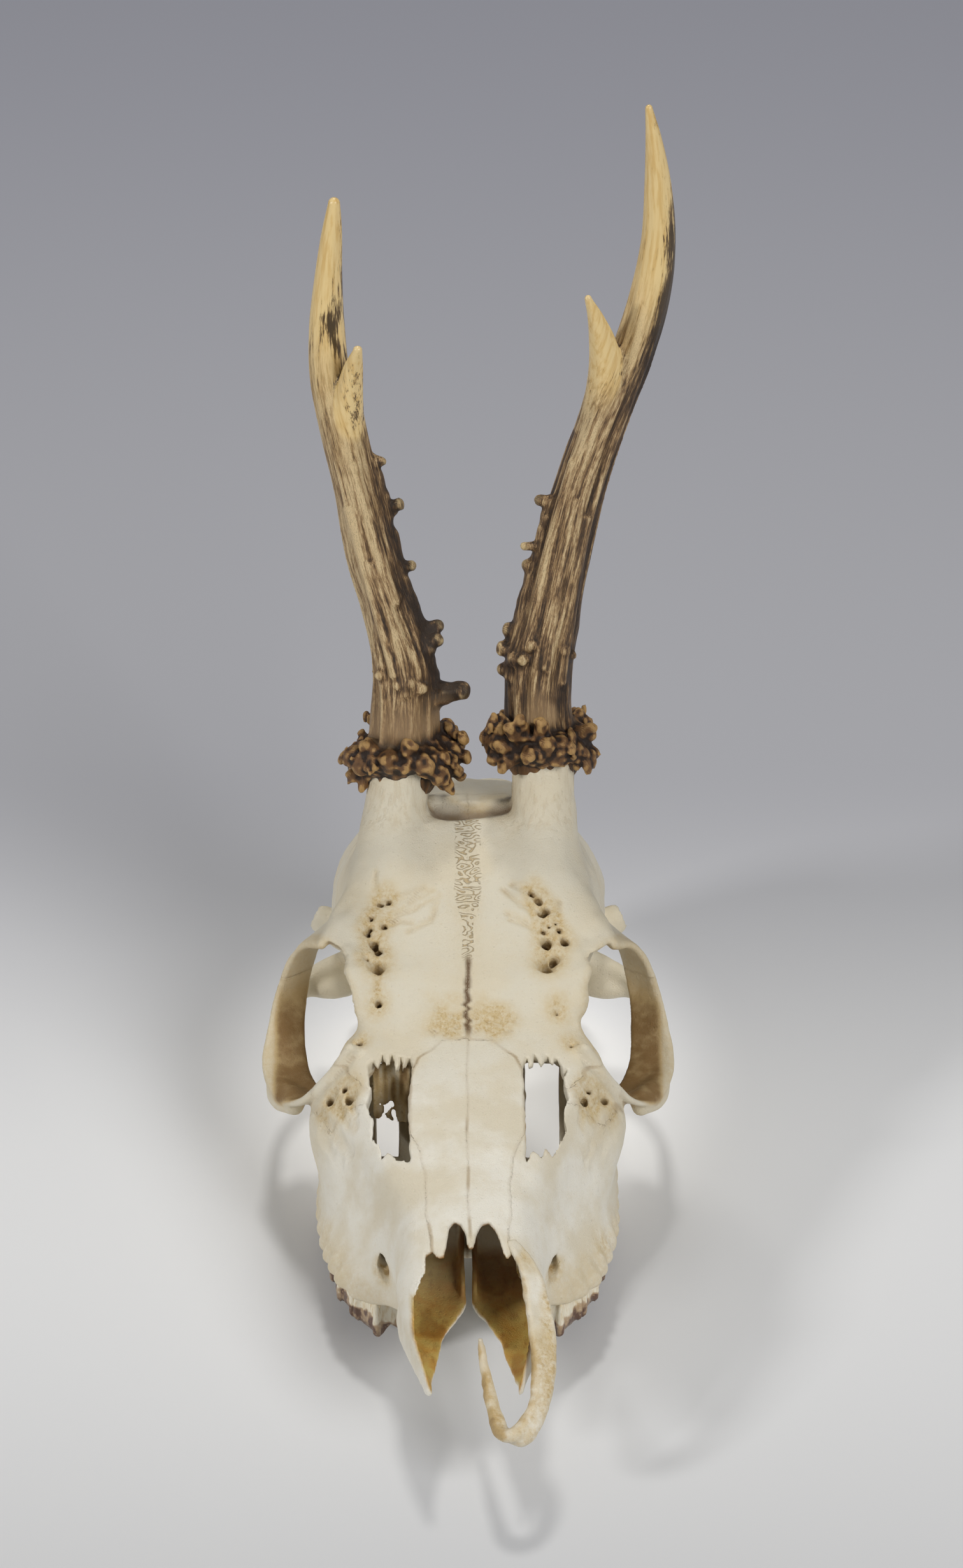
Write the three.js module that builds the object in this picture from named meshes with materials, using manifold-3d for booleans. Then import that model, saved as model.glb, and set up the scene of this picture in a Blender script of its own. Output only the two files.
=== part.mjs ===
// Skull of a young roe buck (Capreolus capreolus) without its lower jaw, with both antlers, as it rests on a
// level surface on its last molars and its paroccipital processes. The right premaxilla is missing.
//
// Millimetres. Anatomical frame: +X is the deer's left, +Y runs back from the tip of the premaxilla, and +Z is
// up from the plane in which the cheek teeth bite. The exported group tips that frame into the resting pose,
// with +Z up, the face towards -Y, and the origin under the middle of the whole skull.
import * as THREE from "three";
import { mergeVertices } from "three/addons/utils/BufferGeometryUtils.js";
import Module from "manifold-3d";

const wasm = await Module();
wasm.setup();

// ---- driving dimensions -------------------------------------------------------------------------------------
const SEAM = 0.3; // gap between neighbouring bones
const NASION_Y = 95; // where the nasals meet the frontals on the midline
const BREGMA = { y: 146, z: 79 }; // rear end of the frontals on the midline
const CREST = { y: 187, z: 69.6 }; // top of the nuchal crest
const SNOUT_Y = 12; // foremost bone of the maxilla
const TUBER_Y = 114; // rear end of the maxilla
const ORBIT = { x: 37.2, y: 115, z: 45, radius: 18.5 };
const FLAT = 0.4; // depth of the small flats on which the skull rests
const MOLAR_REST = { y: 106, z: FLAT }; // the rear cusps of the last molars bear the face
const PAROCCIPITAL_TIP = { x: 24.5, y: 178, z: 8.5 }; // the rear rest
const REST_TILT = Math.atan2(
  PAROCCIPITAL_TIP.z - MOLAR_REST.z,
  PAROCCIPITAL_TIP.y - MOLAR_REST.y,
); // the muzzle is this much raised at rest
const BEND = { from: 80, reach: 2.4 }; // the muzzle is warped to the left in front of y = from, by reach at y = 0
const BONE = { color: 0xe9e1cf, roughness: 0.55, metalness: 0 };
const IVORY = { color: 0xe6d5ab, roughness: 0.5, metalness: 0 };
const ANTLER = { color: 0x7a5f42, roughness: 0.6, metalness: 0 };
const TIP = { color: 0xd9bf86, roughness: 0.4, metalness: 0 };

// ---- solids -------------------------------------------------------------------------------------------------
const V = (x, y, z) => new THREE.Vector3(x, y, z);
const onSide = (side, [x, y, z]) => V(side * x, y, z);

// A closed geometry as a manifold-3d solid that faces outwards.
function solid(geometry) {
  const bare = geometry.clone();
  bare.deleteAttribute("normal");
  bare.deleteAttribute("uv");
  const merged = mergeVertices(bare, 1e-4);
  const mesh = {
    numProp: 3,
    vertProperties: merged.attributes.position.array,
    triVerts: new Uint32Array(merged.index.array),
  };
  const made = new wasm.Manifold(new wasm.Mesh(mesh));
  if (made.volume() > 0) return made;
  mesh.triVerts.reverse();
  return new wasm.Manifold(new wasm.Mesh(mesh));
}

const union = (...solids) => solids.flat().reduce((all, next) => all.add(next));

// The closed surface through a list of rings, each the same number of points, with a fan over each end.
function skinOver(rings) {
  const count = rings[0].length;
  const positions = rings.flat().flatMap((p) => [p.x, p.y, p.z]);
  const index = [];
  for (let r = 0; r + 1 < rings.length; r++)
    for (let i = 0; i < count; i++) {
      const a = r * count + i;
      const b = r * count + ((i + 1) % count);
      index.push(a, b, a + count, b, b + count, a + count);
    }
  for (const [r, turn] of [
    [0, 1],
    [rings.length - 1, -1],
  ]) {
    const middle = positions.length / 3;
    const centre = V(0, 0, 0);
    rings[r].forEach((p) => centre.addScaledVector(p, 1 / count));
    positions.push(centre.x, centre.y, centre.z);
    for (let i = 0; i < count; i++) {
      const pair = [r * count + i, r * count + ((i + 1) % count)];
      index.push(middle, ...(turn > 0 ? pair.reverse() : pair));
    }
  }
  return new THREE.BufferGeometry()
    .setAttribute("position", new THREE.Float32BufferAttribute(positions, 3))
    .setIndex(index);
}

// A symmetrical body along Y. Each station is [y, [x, z], ...]: the left half of its section, from the midline on
// top to the midline below. A smooth curve runs round each section.
function loft(stations, perPoint = 2) {
  const sections = stations.map(([y, ...half]) => {
    const mirrored = half.slice(1, -1).reverse();
    const loop = [...half, ...mirrored.map(([x, z]) => [-x, z])];
    const points = loop.map(([x, z]) => V(x, y, z));
    const curve = new THREE.CatmullRomCurve3(points, true, "centripetal");
    return curve.getPoints(points.length * perPoint).slice(0, -1);
  });
  return solid(skinOver(sections));
}

// A round or flattened bar along a smooth curve. Each stop is [x, y, z, half width, half height]; the width lies
// along `across`, as nearly as the curve lets it. `grow` thickens the bar all round.
function bar(stops, { side = 1, across = [1, 0, 0], sides = 6, steps, grow = 0 } = {}) {
  const n = steps ?? 2 * (stops.length - 1);
  const path = new THREE.CatmullRomCurve3(stops.map((s) => onSide(side, s)));
  const sizes = new THREE.CatmullRomCurve3(
    stops.map((s) => V(s[3] + grow, (s[4] ?? s[3]) + grow, 0)),
  );
  const wide = onSide(side, across);
  const rings = [];
  for (let k = 0; k <= n; k++) {
    const [centre, size] = [path.getPoint(k / n), sizes.getPoint(k / n)];
    const along = path.getTangent(k / n);
    const u = wide
      .clone()
      .addScaledVector(along, -wide.dot(along))
      .normalize();
    const v = V(0, 0, 0).crossVectors(along, u);
    rings.push(
      Array.from({ length: sides }, (_, i) => {
        const angle = (i / sides) * 2 * Math.PI;
        return centre
          .clone()
          .addScaledVector(u, size.x * Math.cos(angle))
          .addScaledVector(v, size.y * Math.sin(angle));
      }),
    );
  }
  return solid(skinOver(rings));
}

// A plate of bone between two smooth edge curves, each a list of [x, y, z].
function plate(edgeA, edgeB, thickness, { side = 1, steps } = {}) {
  const n = steps ?? 2 * (edgeA.length - 1);
  const [a, b] = [edgeA, edgeB].map(
    (edge) => new THREE.CatmullRomCurve3(edge.map((p) => onSide(side, p))),
  );
  const rings = [];
  for (let k = 0; k <= n; k++) {
    const [p, q] = [a.getPoint(k / n), b.getPoint(k / n)];
    const over = q.clone().sub(p).normalize();
    const normal = V(0, 0, 0)
      .crossVectors(a.getTangent(k / n), over)
      .normalize()
      .multiplyScalar(thickness / 2);
    const rounding = over.clone().multiplyScalar(thickness / 2);
    rings.push([
      p.clone().add(normal),
      p.clone().sub(rounding),
      p.clone().sub(normal),
      q.clone().sub(normal),
      q.clone().add(rounding),
      q.clone().add(normal),
    ]);
  }
  return solid(skinOver(rings));
}

function blob([x, y, z], [rx, ry, rz], side = 1, detail = 8) {
  const ball = new THREE.SphereGeometry(1, detail, Math.round(detail * 0.7));
  return solid(ball.scale(rx, ry, rz).translate(side * x, y, z));
}

// An outline in two of the axes, pushed through from `low` to `high` along the third. `grow` widens it all round.
function prism(outline, axis, low, high, grow = 0) {
  const points = outline.map(([a, b]) => new THREE.Vector2(a, b));
  if (THREE.ShapeUtils.area(points) < 0) points.reverse();
  const spread = points.map((p, i) => {
    const before = points.at(i - 1);
    const after = points[(i + 1) % points.length];
    const out = (from, to) =>
      new THREE.Vector2(to.y - from.y, from.x - to.x).normalize();
    const [m, n] = [out(before, p), out(p, after)];
    return p
      .clone()
      .addScaledVector(m.clone().add(n), grow / (1 + m.dot(n)));
  });
  const geometry = new THREE.ExtrudeGeometry(new THREE.Shape(spread), {
    depth: high - low + 2 * grow,
    bevelEnabled: false,
  });
  geometry.translate(0, 0, low - grow);
  return solid(geometry.applyMatrix4(PUSHED_ALONG[axis]));
}
// Outlines are drawn as (y, z) for X, as (x, z) for Y and as (x, y) for Z.
const PUSHED_ALONG = {
  x: new THREE.Matrix4().makeBasis(V(0, 1, 0), V(0, 0, 1), V(1, 0, 0)),
  y: new THREE.Matrix4().makeBasis(V(1, 0, 0), V(0, 0, 1), V(0, 1, 0)),
  z: new THREE.Matrix4(),
};

// ---- the face -----------------------------------------------------------------------------------------------
// Half sections of the muzzle: roof, edge of the nasal, shoulder, cheek, wall over the tooth roots, tooth socket
// edge, palate. In front of the orbit the cheek is hollow and the row of sockets stands out below it.
const muzzle = () =>
  loft([
    [SNOUT_Y, [0, 20], [4, 19.5], [7.5, 18], [9.6, 15.5], [9.8, 14.2], [9.6, 12.8], [0, 12.4]],
    [26, [0, 28], [6.5, 27], [10, 25], [13.3, 20], [13.4, 16.6], [13.2, 13], [0, 13]],
    [38, [0, 34.2], [8, 33], [12, 30], [15.2, 23], [15, 17.6], [15.2, 13.4], [0, 13.6]],
    [49, [0, 37.5], [8.9, 36.7], [13.1, 33.8], [16.4, 24.9], [16.8, 18.4], [17.2, 11.8], [0, 14]],
    [54, [0, 39], [9.8, 38.1], [14.3, 35], [17.4, 25.2], [19.6, 18.4], [23, 9.8], [0, 14]],
    [60, [0, 40.8], [10.8, 39.8], [16.2, 36.6], [19.6, 26], [23, 18.4], [27.4, 9.8], [0, 14]],
    [70, [0, 43.8], [11.8, 43], [20, 39], [24.6, 26.5], [27.6, 18.4], [30.8, 10], [0, 14.2]],
    [80, [0, 46.8], [12.2, 46], [22.5, 42], [30, 28.5], [30.8, 18.8], [32.4, 10.4], [0, 14.5]],
    [92, [0, 50.2], [12, 49.5], [24.5, 47], [34.5, 31], [32.6, 19.6], [32.2, 10.8], [0, 15]],
    [103, [0, 53.4], [12, 53], [25, 49], [34, 30], [33, 20], [31, 11.6], [0, 16]],
    [TUBER_Y, [0, 52], [10, 51], [20, 44], [29, 30], [28.6, 22], [27, 15], [0, 17]],
  ]);

// The nasal cavity, as a body to cut away: roof, edge of the nasal, shoulder, cheek, floor edge, floor.
const nasalCavity = () =>
  loft(
    [
      [4, [0, 26], [4, 25], [6, 22], [7.6, 18], [7, 14.5], [0, 10]],
      [14, [0, 28], [5, 27], [7.5, 24], [8.6, 18], [8, 14.8], [0, 12]],
      [26, [0, 32], [6, 29], [9.5, 25], [11.4, 20], [10.6, 15.4], [0, 14.6]],
      [38, [0, 32], [7, 31], [11, 28], [13.4, 22.5], [12.4, 16.4], [0, 15.8]],
      [50, [0, 35.4], [8.5, 34.6], [11.8, 31.5], [14, 25], [13, 18], [0, 17]],
      [60, [0, 38.4], [10, 37.4], [14.4, 34.2], [16.6, 27], [14, 19.4], [0, 17.4]],
      [70, [0, 41.4], [11, 40.4], [18, 36.8], [20.8, 29], [15.5, 20.4], [0, 17.8]],
      [80, [0, 44.2], [11.5, 43.4], [20.5, 39], [25, 31], [17, 21], [0, 18]],
      [92, [0, 47.4], [11.5, 46.6], [21.5, 43], [25, 33], [18, 21.6], [0, 18.4]],
      [104, [0, 49.6], [11, 48.4], [16.5, 45], [17, 37], [15, 25], [0, 19.4]],
      [112, [0, 48], [8, 46], [11, 42], [11, 34], [9, 26], [0, 21]],
    ],
    1,
  );

// In front of this line, drawn from the side, the muzzle is open above.
const aperture = () =>
  prism([[0, 15], [SNOUT_Y, 16.2], [22, 21.5], [31, 28], [38, 33.4], [38, 60], [0, 60]], "x", -30, 30);

// The opening between nasal, frontal, lacrimal and maxilla, drawn from above.
const VACUITY = [[12.2, 86], [13.5, 89.5], [18, 88.6], [21.2, 87], [20.8, 77], [19.8, 70], [16.4, 64], [12.4, 60.6],
  [12.6, 74]];

// The palatine fissures, drawn from above, and the slit that runs back from them between the halves of the palate.
const FISSURE = [[-9.2, 8], [-8.6, 17], [-6, 32], [-2.6, 40], [-0.9, 44], [-0.8, 64], [0.8, 64], [0.9, 44],
  [2.6, 40], [6, 32], [8.6, 17], [9.2, 8]];

// Crowns of the cheek teeth, from the second premolar to the third molar: middle of the crown, length, width and
// the turn of the row there.
const TEETH = [
  { x: 18.2, y: 58, length: 9, width: 9.4, turn: 0.56 },
  { x: 22, y: 65.4, length: 8.2, width: 10.4, turn: 0.42 },
  { x: 23.8, y: 72.6, length: 7.4, width: 11, turn: 0.24 },
  { x: 24.4, y: 81.6, length: 10.6, width: 11.4, turn: 0.16 },
  { x: 25.2, y: 92.2, length: 11, width: 11.8, turn: 0.06 },
  { x: 25.6, y: 103.1, length: 11, width: 11, turn: -0.04 },
];
const CROWN_TOP = 13;
const NECK_INSET = 0.8; // the crown is this much narrower at the gum than at the cusps

function tooth({ x, y, length, width, turn }, side) {
  const half = length / 2 - SEAM;
  const cusps = [[-half, CROWN_TOP], [-half, 2.2], [-half / 2, 0], [0, 2.2], [half / 2, 0], [half, 2.2],
    [half, CROWN_TOP]];
  const shape = new THREE.Shape(cusps.map(([a, b]) => new THREE.Vector2(a, b)));
  const crown = new THREE.ExtrudeGeometry(shape, { depth: width, bevelEnabled: false });
  crown.applyMatrix4(PUSHED_ALONG.x).translate(-width / 2, 0, 0);
  const at = crown.attributes.position;
  for (let i = 0; i < at.count; i++) {
    const gum = at.getZ(i) / CROWN_TOP;
    at.setX(i, at.getX(i) - Math.sign(at.getX(i)) * NECK_INSET * gum);
  }
  crown.rotateZ(-side * turn).translate(side * x, y, 0);
  return solid(crown);
}

// ---- the orbit and cheekbone --------------------------------------------------------------------------------
// The rim of the orbit from the lacrimal, below and behind the eye, up to the frontal; and the free inner edge.
const RIM = [[25.5, 93.5, 49.5], [31, 94, 41.5], [36.8, 98, 33.5], [42, 106, 30], [45.3, 117, 32], [44.2, 124.5, 38],
  [42.3, 129, 45], [39.8, 129.5, 52], [36.6, 126.5, 57.5], [32.5, 120, 61]];
const INNER = [[19.5, 97, 45], [25, 101, 38], [30.5, 105, 31.5], [34.8, 112, 30], [37.2, 121, 33], [37.6, 129, 39],
  [36.4, 134, 46], [34.4, 135, 53], [31, 134, 59], [27, 131, 63]];
const RIM_THICKNESS = 2.6;

const orbitRing = (side) => plate(RIM, INNER, RIM_THICKNESS, { side, steps: 11 });

const cheekArch = (side) =>
  bar(
    [[38.5, 104, 30, 2, 3], [43, 114, 27.6, 2, 4], [44, 132, 27.5, 1.7, 3.6], [42.6, 143, 30, 1.6, 3.4],
      [38.5, 152, 33, 2, 3], [31, 158, 35, 3, 3.4], [22, 161, 36, 4, 4]],
    { side, steps: 8 },
  );
const jawJoint = (side) => blob([32, 157, 32], [7.5, 6, 3], side, 6);

// ---- the cranium --------------------------------------------------------------------------------------------
// Half sections: top, crown, shoulder over the orbit or temple, wall, base edge, base.
const cranium = () =>
  loft([
    [97, [0, 48], [12, 47.6], [20, 44], [16, 38], [12, 32], [0, 30]],
    [106, [0, 56.9], [14, 57.8], [26.8, 56], [20, 45], [14, 32], [0, 27]],
    [117, [0, 62.8], [15, 62.6], [32.4, 60.6], [22, 46], [13.5, 31], [0, 26]],
    [126, [0, 67.8], [16, 68], [31, 64.6], [25, 50], [15, 31], [0, 25.6]],
    [135, [0, 72.8], [16, 73.4], [27, 69], [28, 52], [18, 31], [0, 25.2]],
    [BREGMA.y, [0, BREGMA.z], [14, 78.6], [25.4, 71], [31, 54], [21, 31], [0, 25]],
    [156, [0, 80.4], [13, 79], [24, 71.5], [31.4, 54], [22, 31], [0, 25]],
    [168, [0, 78.2], [12, 76.8], [22.5, 69], [31, 52], [22, 31], [0, 25]],
    [178, [0, 74.4], [11, 73], [20, 65], [28, 48], [21, 31], [0, 25]],
    [184, [0, 70.5], [9, 69], [17, 61], [24.5, 46], [18, 32], [0, 26]],
  ]);

const nuchalCrest = () =>
  bar([[-27, 180, 42, 3, 2], [-22, 183.5, 56, 2.6, 2], [-11, 186, 66.6, 2.6, 1.8],
    [0, CREST.y - 0.6, CREST.z - 1.6, 3.4, 2.2], [11, 186, 66.6, 2.6, 1.8], [22, 183.5, 56, 2.6, 2],
    [27, 180, 42, 3, 2]], { across: [0, 1, 0], sides: 6, steps: 10 });

const foramenMagnum = () => blob([0, 188, 35.5], [8, 18, 7.6]);

const skullBase = (side) =>
  union(
    condyle(side),
    bulla(side),
    paroccipital(side),
    earOpening(side),
    pterygoid(side),
  );
const condyle = (side) => blob([10.6, 182.6, 30], [6.6, 7.6, 9], side);
const bulla = (side) => blob([15.5, 162, 23.5], [6.4, 10, 6.6], side);
const paroccipital = (side) =>
  bar([[22, 176, 42, 6, 5], [25.4, 179, 28, 4.4, 3.4], [25, 179.4, 17, 3, 2.4], [PAROCCIPITAL_TIP.x,
    PAROCCIPITAL_TIP.y, PAROCCIPITAL_TIP.z - FLAT, 2, 1.8]], { side, across: [0, 1, 0], steps: 4 });
const earOpening = (side) => bar([[22, 164, 38, 5], [30, 167.5, 40, 4], [34, 169, 42, 3.4]], { side, steps: 3 });
// The upright plate of the palatine and pterygoid beside the choanae.
const pterygoid = (side) =>
  plate([[10, 100, 16], [9.4, 116, 13.4], [9, 128, 14.6], [8.4, 138, 19]],
    [[12, 100, 34], [11, 116, 33], [10, 128, 30], [9, 140, 27]], 2.2, { side });

const baseBar = () =>
  bar([[0, 112, 30, 5, 4], [0, 130, 27, 5.5, 4], [0, 150, 25.5, 6.5, 4], [0, 178, 26, 9, 4]], { steps: 6 });

// The way from the opening in the face past the palate and out under the skull, drawn from the side.
const FACE_THROUGH_WAY = [[71, 38], [98, 19.4], [118, 8], [150, 2], [150, 13], [120, 31], [90, 48]];
const faceThroughWay = (side) => prism(FACE_THROUGH_WAY, "x", ...between(side, 12.6, 20.4));
const between = (side, near, far) => (side > 0 ? [near, far] : [-far, -near]);

const choanae = () => bar([[0, 104, 26, 8, 5], [0, 116, 21, 7.4, 5.5], [0, 132, 15, 7, 6]]);

const pedicle = (side) =>
  side > 0
    ? bar([[16.5, 138, 66, 9.5, 10], [17.2, 147, 76, 8, 8.4], [17, 150.4, 84, 7.1, 7.8], [17, 152, 93, 7, 7.6]])
    : bar([[-16.5, 138, 66, 9.5, 10], [-16.9, 147, 76, 7.8, 8.4], [-16, 150.4, 84, 6.9, 7.8],
        [-15, 151.6, 90, 6.8, 7.6]]);

// ---- the antlers --------------------------------------------------------------------------------------------
// Each beam runs from the burr to its tip as [x, y, z, half width]; `fork` is the height at which it is parted.
const ANTLERS = {
  left: {
    burr: { at: [16.9, 152.4, 96.4], radius: 11.2, lean: 0.06 },
    beam: [[17, 152.4, 95, 8.2], [15.8, 153.6, 104, 7.2], [16.4, 155.5, 115.6, 7], [18.6, 157.4, 127, 6.4],
      [21.4, 160, 140, 5.8], [25.2, 162.6, 155, 5.5], [30.2, 165, 169, 5.4], [35.4, 166, 181.5, 4.8],
      [39.4, 166, 195, 4.4], [41.4, 165.8, 209, 3.6], [41, 163.8, 223, 2.8], [39.8, 161.8, 234, 1.7],
      [38.7, 160.6, 241.2, 0.7]],
    tine: [[29.6, 164.4, 170, 4.4], [30.4, 163, 180, 3.8], [29.4, 160.4, 188.5, 2.9], [27.7, 157.8, 195.2, 1.7],
      [26.1, 156, 200.2, 0.6]],
    fork: 176,
    pearls: [[16.1, 161.3, 150.7, 1.3], [13.4, 158.6, 136.1, 1.5], [12.2, 157, 128.1, 0.9], [9.2, 156.5, 121.5, 1.6],
      [7.9, 155.1, 117.4, 1.7], [7.8, 154.3, 112.8, 1.3], [10.2, 151.5, 116.4, 1.3], [12.1, 149.5, 117, 1.2],
      [14.4, 149.6, 120.8, 0.8]],
  },
  right: {
    burr: { at: [-14.4, 152, 93], radius: 11.6, lean: -0.14 },
    beam: [[-14.7, 151.8, 91.2, 8], [-14.2, 153.4, 103, 7.4], [-14.4, 155.2, 114, 6.8], [-17.4, 157.2, 126, 5.9],
      [-21, 159.4, 137, 5.5], [-24.4, 162, 153.5, 5.1], [-27.6, 164, 167, 4.9], [-30.2, 164.8, 179, 4.3],
      [-30.7, 164.2, 190, 3.8], [-30.2, 163.4, 202, 3], [-29.3, 162.8, 212.4, 2], [-28.6, 162.2, 220, 0.9]],
    tine: [[-26.6, 162.6, 164, 3.8], [-26.2, 160.8, 174, 3.2], [-25, 157.6, 183, 2.2], [-23.8, 154.2, 189, 0.6]],
    fork: 170,
    pearls: [[-18.9, 161.9, 159.7, 1], [-15.3, 160.9, 149.8, 1.4], [-12.6, 158.7, 136, 1.3], [-13, 156.7, 129.2, 1.3],
      [-6.9, 156, 122.5, 1.6], [-6.9, 153.7, 120.1, 1.6], [-1.8, 152.1, 108.3, 2.1], [-13, 148.3, 111.9, 1.1],
      [-19.8, 149.6, 113.3, 0.9]],
  },
};
const BURR_KNOBS = 10;

// The burr: a rough collar of knobs round the foot of the beam, with a flat underside. Its section is given as
// [share of the radius, height].
const BURR_PROFILE = [[0.66, -2.6], [0.96, -2.1], [1.08, 0], [0.94, 2.2], [0.6, 3.4]];
const BURR_FLOOR = BURR_PROFILE[0][1];
function burr({ at, radius, lean }) {
  const rings = BURR_PROFILE.map(([share, height], level) =>
    Array.from({ length: 2 * BURR_KNOBS }, (_, k) => {
      const angle = (k / BURR_KNOBS) * Math.PI;
      const inner = level === 0 || level === BURR_PROFILE.length - 1;
      const knob = inner || k % 2 ? 0 : 0.14 + 0.05 * Math.cos(2.5 * k);
      const reach = radius * (share + knob);
      return V(reach * Math.cos(angle), reach * Math.sin(angle), height);
    }),
  );
  return solid(skinOver(rings).rotateY(lean).translate(...at));
}

// The space over the seat of a burr, which the pedicle stops short of.
function overSeat({ at, radius, lean }) {
  const height = 40;
  const column = new THREE.CylinderGeometry(radius * 1.3, radius * 1.3, height, 16)
    .rotateX(Math.PI / 2)
    .translate(0, 0, height / 2 + BURR_FLOOR - SEAM);
  return solid(column.rotateY(lean).translate(...at));
}

// A knob of the beam, from the axis of the beam out to its rounded head.
function pearl([x, y, z, radius], beam) {
  const next = beam.findIndex((stop) => stop[2] > z);
  const [low, high] = [V(...beam[next - 1]), V(...beam[next])];
  const foot = low.lerp(high, (z - low.z) / (high.z - low.z));
  const head = V(x, y, z);
  const out = head.clone().sub(foot).normalize();
  const [neck, end] = [-radius, radius].map((d) => head.clone().addScaledVector(out, d).toArray());
  const stops = [
    [...foot.toArray(), 1.5 * radius],
    [...neck, radius],
    [...head.toArray(), radius],
    [...end, radius / 3],
  ];
  return bar(stops, { across: [0, 0, 1], sides: 5, steps: 3 });
}

function antler(name) {
  const { beam, tine, pearls, fork, burr: collar } = ANTLERS[name];
  const shaft = bar(beam, { sides: 8, steps: 16 });
  const prong = bar(tine, { steps: 6 });
  const whole = union(shaft, prong, pearls.map((p) => pearl(p, beam)), burr(collar));
  const above = (z) => prism([[-60, 100], [60, 100], [60, 220], [-60, 220]], "z", z, 300);
  const divide = forkCut(name);
  const top = above(fork + SEAM / 2).intersect(whole);
  const tip = largest(top.subtract(divide.grown));
  const front = largest(top.intersect(divide.exact));
  return {
    [`antler_${name}_beam`]: [whole.subtract(above(fork - SEAM / 2)), ANTLER],
    [`antler_${name}_top`]: [tip, TIP],
    [`antler_${name}_front_tine`]: [front, TIP],
  };
}

// The wedge of space that holds the front tine above the fork, seen from the front.
function forkCut(name) {
  const outline = name === "left"
    ? [[18, 174], [31.6, 174], [33.6, 184], [34, 206], [18, 206]]
    : [[-28, 168], [-16, 168], [-16, 194], [-26.3, 194], [-27.4, 182]];
  return { exact: prism(outline, "y", 100, 200, -SEAM), grown: prism(outline, "y", 100, 200) };
}

// ---- parting the bone ---------------------------------------------------------------------------------------
const largest = (piece) =>
  piece.decompose().reduce((best, next) => (next.volume() > best.volume() ? next : best));

const SIDES = { left: 1, right: -1 };

function wholeBone() {
  const both = (make) => [make(1), make(-1)];
  const face = muzzle().subtract(aperture());
  const outer = union(face, cranium(), baseBar());
  const eyes = both((side) => blob([ORBIT.x, ORBIT.y, ORBIT.z], Array(3).fill(ORBIT.radius), side, 12));
  const fossa = both((side) => blob([41, 146, 44], [13, 15, 12], side, 10));
  const windows = both((side) => prism(VACUITY.map(([x, y]) => [side * x, y]), "z", 34, 70));
  const nasalTips = both(nasalTip);
  const hollow = union(nasalCavity(), prism(FISSURE, "z", 2, 17), choanae(), both(faceThroughWay));
  return union(outer.subtract(union(eyes, fossa)), nasalTips)
    .subtract(union(hollow, windows, foramenMagnum()))
    .add(union(both(orbitRing), both(cheekArch), both(jawJoint), both(skullBase), both(pedicle), nuchalCrest()))
    .add(union(TEETH.flatMap((t) => both((side) => tooth(t, side)))))
    .subtract(foramenMagnum());
}

// The free front end of a nasal: a long point beside the maxilla and a short one on the midline.
const nasalTip = (side) =>
  union(
    plate([[6.6, 32.6, 31], [7.4, 37, 32.6], [8.2, 46, 35]], [[5.2, 33.4, 31.8], [5, 38, 33.4], [5, 46, 35.6]], 1.8,
      { side, steps: 2 }),
    plate([[0.2, 36.4, 33], [0.2, 41, 34.2], [0.2, 46, 35.8]], [[0.9, 37, 33], [2.4, 41, 34.2], [3, 46, 35.8]], 1.8,
      { side, steps: 2 }),
  );

// Regions that hold one bone each, in the order in which they are taken. Outlines are drawn from above (x, y) or
// from the side (y, z).
function regions(side) {
  const beside = (outline) => outline.map(([x, y]) => [side * x, y]);
  return {
    nasal: [beside([[SEAM / 2, 28], [SEAM / 2, NASION_Y], [5.5, NASION_Y - 0.6], [10.5, 90], [12.2, 85], [12.2, 72],
      [11, 60], [9.2, 50], [8.4, 40], [8, 28]]), "z", 27, 70],
    frontal: [[[82, 44.5], [100, 46], [116, 53], [126, 48], [141, 48], [143, 62], [150, 66], [158, 76], [158, 99],
      [82, 99]], "x", ...between(side, SEAM / 2, 50)],
    zygomatic: [[[95, 27.6], [100, 24.6], [110, 21], [149, 20], [149, 47.6], [126, 47.6], [116, 52.6], [100, 45.6],
      [95, 40]], "x", ...between(side, 28.6, 50)],
    lacrimal: [beside([[12.6, 78], [29.6, 84], [34, 94], [34, 106], [12.6, 106]]), "z", 31, 60],
    maxilla: [beside([[SEAM / 2, 5], [44, 5], [44, TUBER_Y], [12.4, TUBER_Y], [12.4, 96], [SEAM / 2, 92]]), "z", -5,
      60],
  };
}

function bones() {
  const seats = Object.values(ANTLERS).map((a) => overSeat(a.burr));
  let rest = wholeBone().subtract(union(seats, premaxilla(SEAM)));
  const nodes = {};
  for (const bone of ["nasal", "frontal", "zygomatic", "lacrimal", "maxilla"])
    for (const [name, side] of Object.entries(SIDES)) {
      const [outline, axis, low, high] = regions(side)[bone];
      nodes[`${bone}_${name}`] = [largest(rest.intersect(prism(outline, axis, low, high))), BONE];
      rest = rest.subtract(prism(outline, axis, low, high, SEAM));
    }
  nodes.braincase = [largest(rest), BONE];
  return nodes;
}

// ---- loose pieces -------------------------------------------------------------------------------------------
// The left premaxilla: the body along the edge of the nasal opening, the tip, and the process back to the palate.
const premaxilla = (grow = 0) =>
  bar(
    [[9.4, 38.5, 32.4, 1.7, 0.9], [12.6, 33, 29, 2.4, 1.1], [14.4, 25, 23.4, 2.3, 1.4], [14.2, 17, 17.4, 1.9, 1.6],
      [12.4, 9, 12, 1.8, 1.6], [8.8, 4.6, 8.6, 2, 1.6], [5.4, 5.4, 8.2, 1.9, 1.5], [3.8, 11.5, 9.4, 1.5, 1.2],
      [2.8, 20, 11.4, 1.2, 1.1], [2, 31, 14.6, 0.8, 0.8]],
    { across: [-0.9, -0.2, 0.35], sides: 6, steps: 16, grow },
  );

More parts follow.
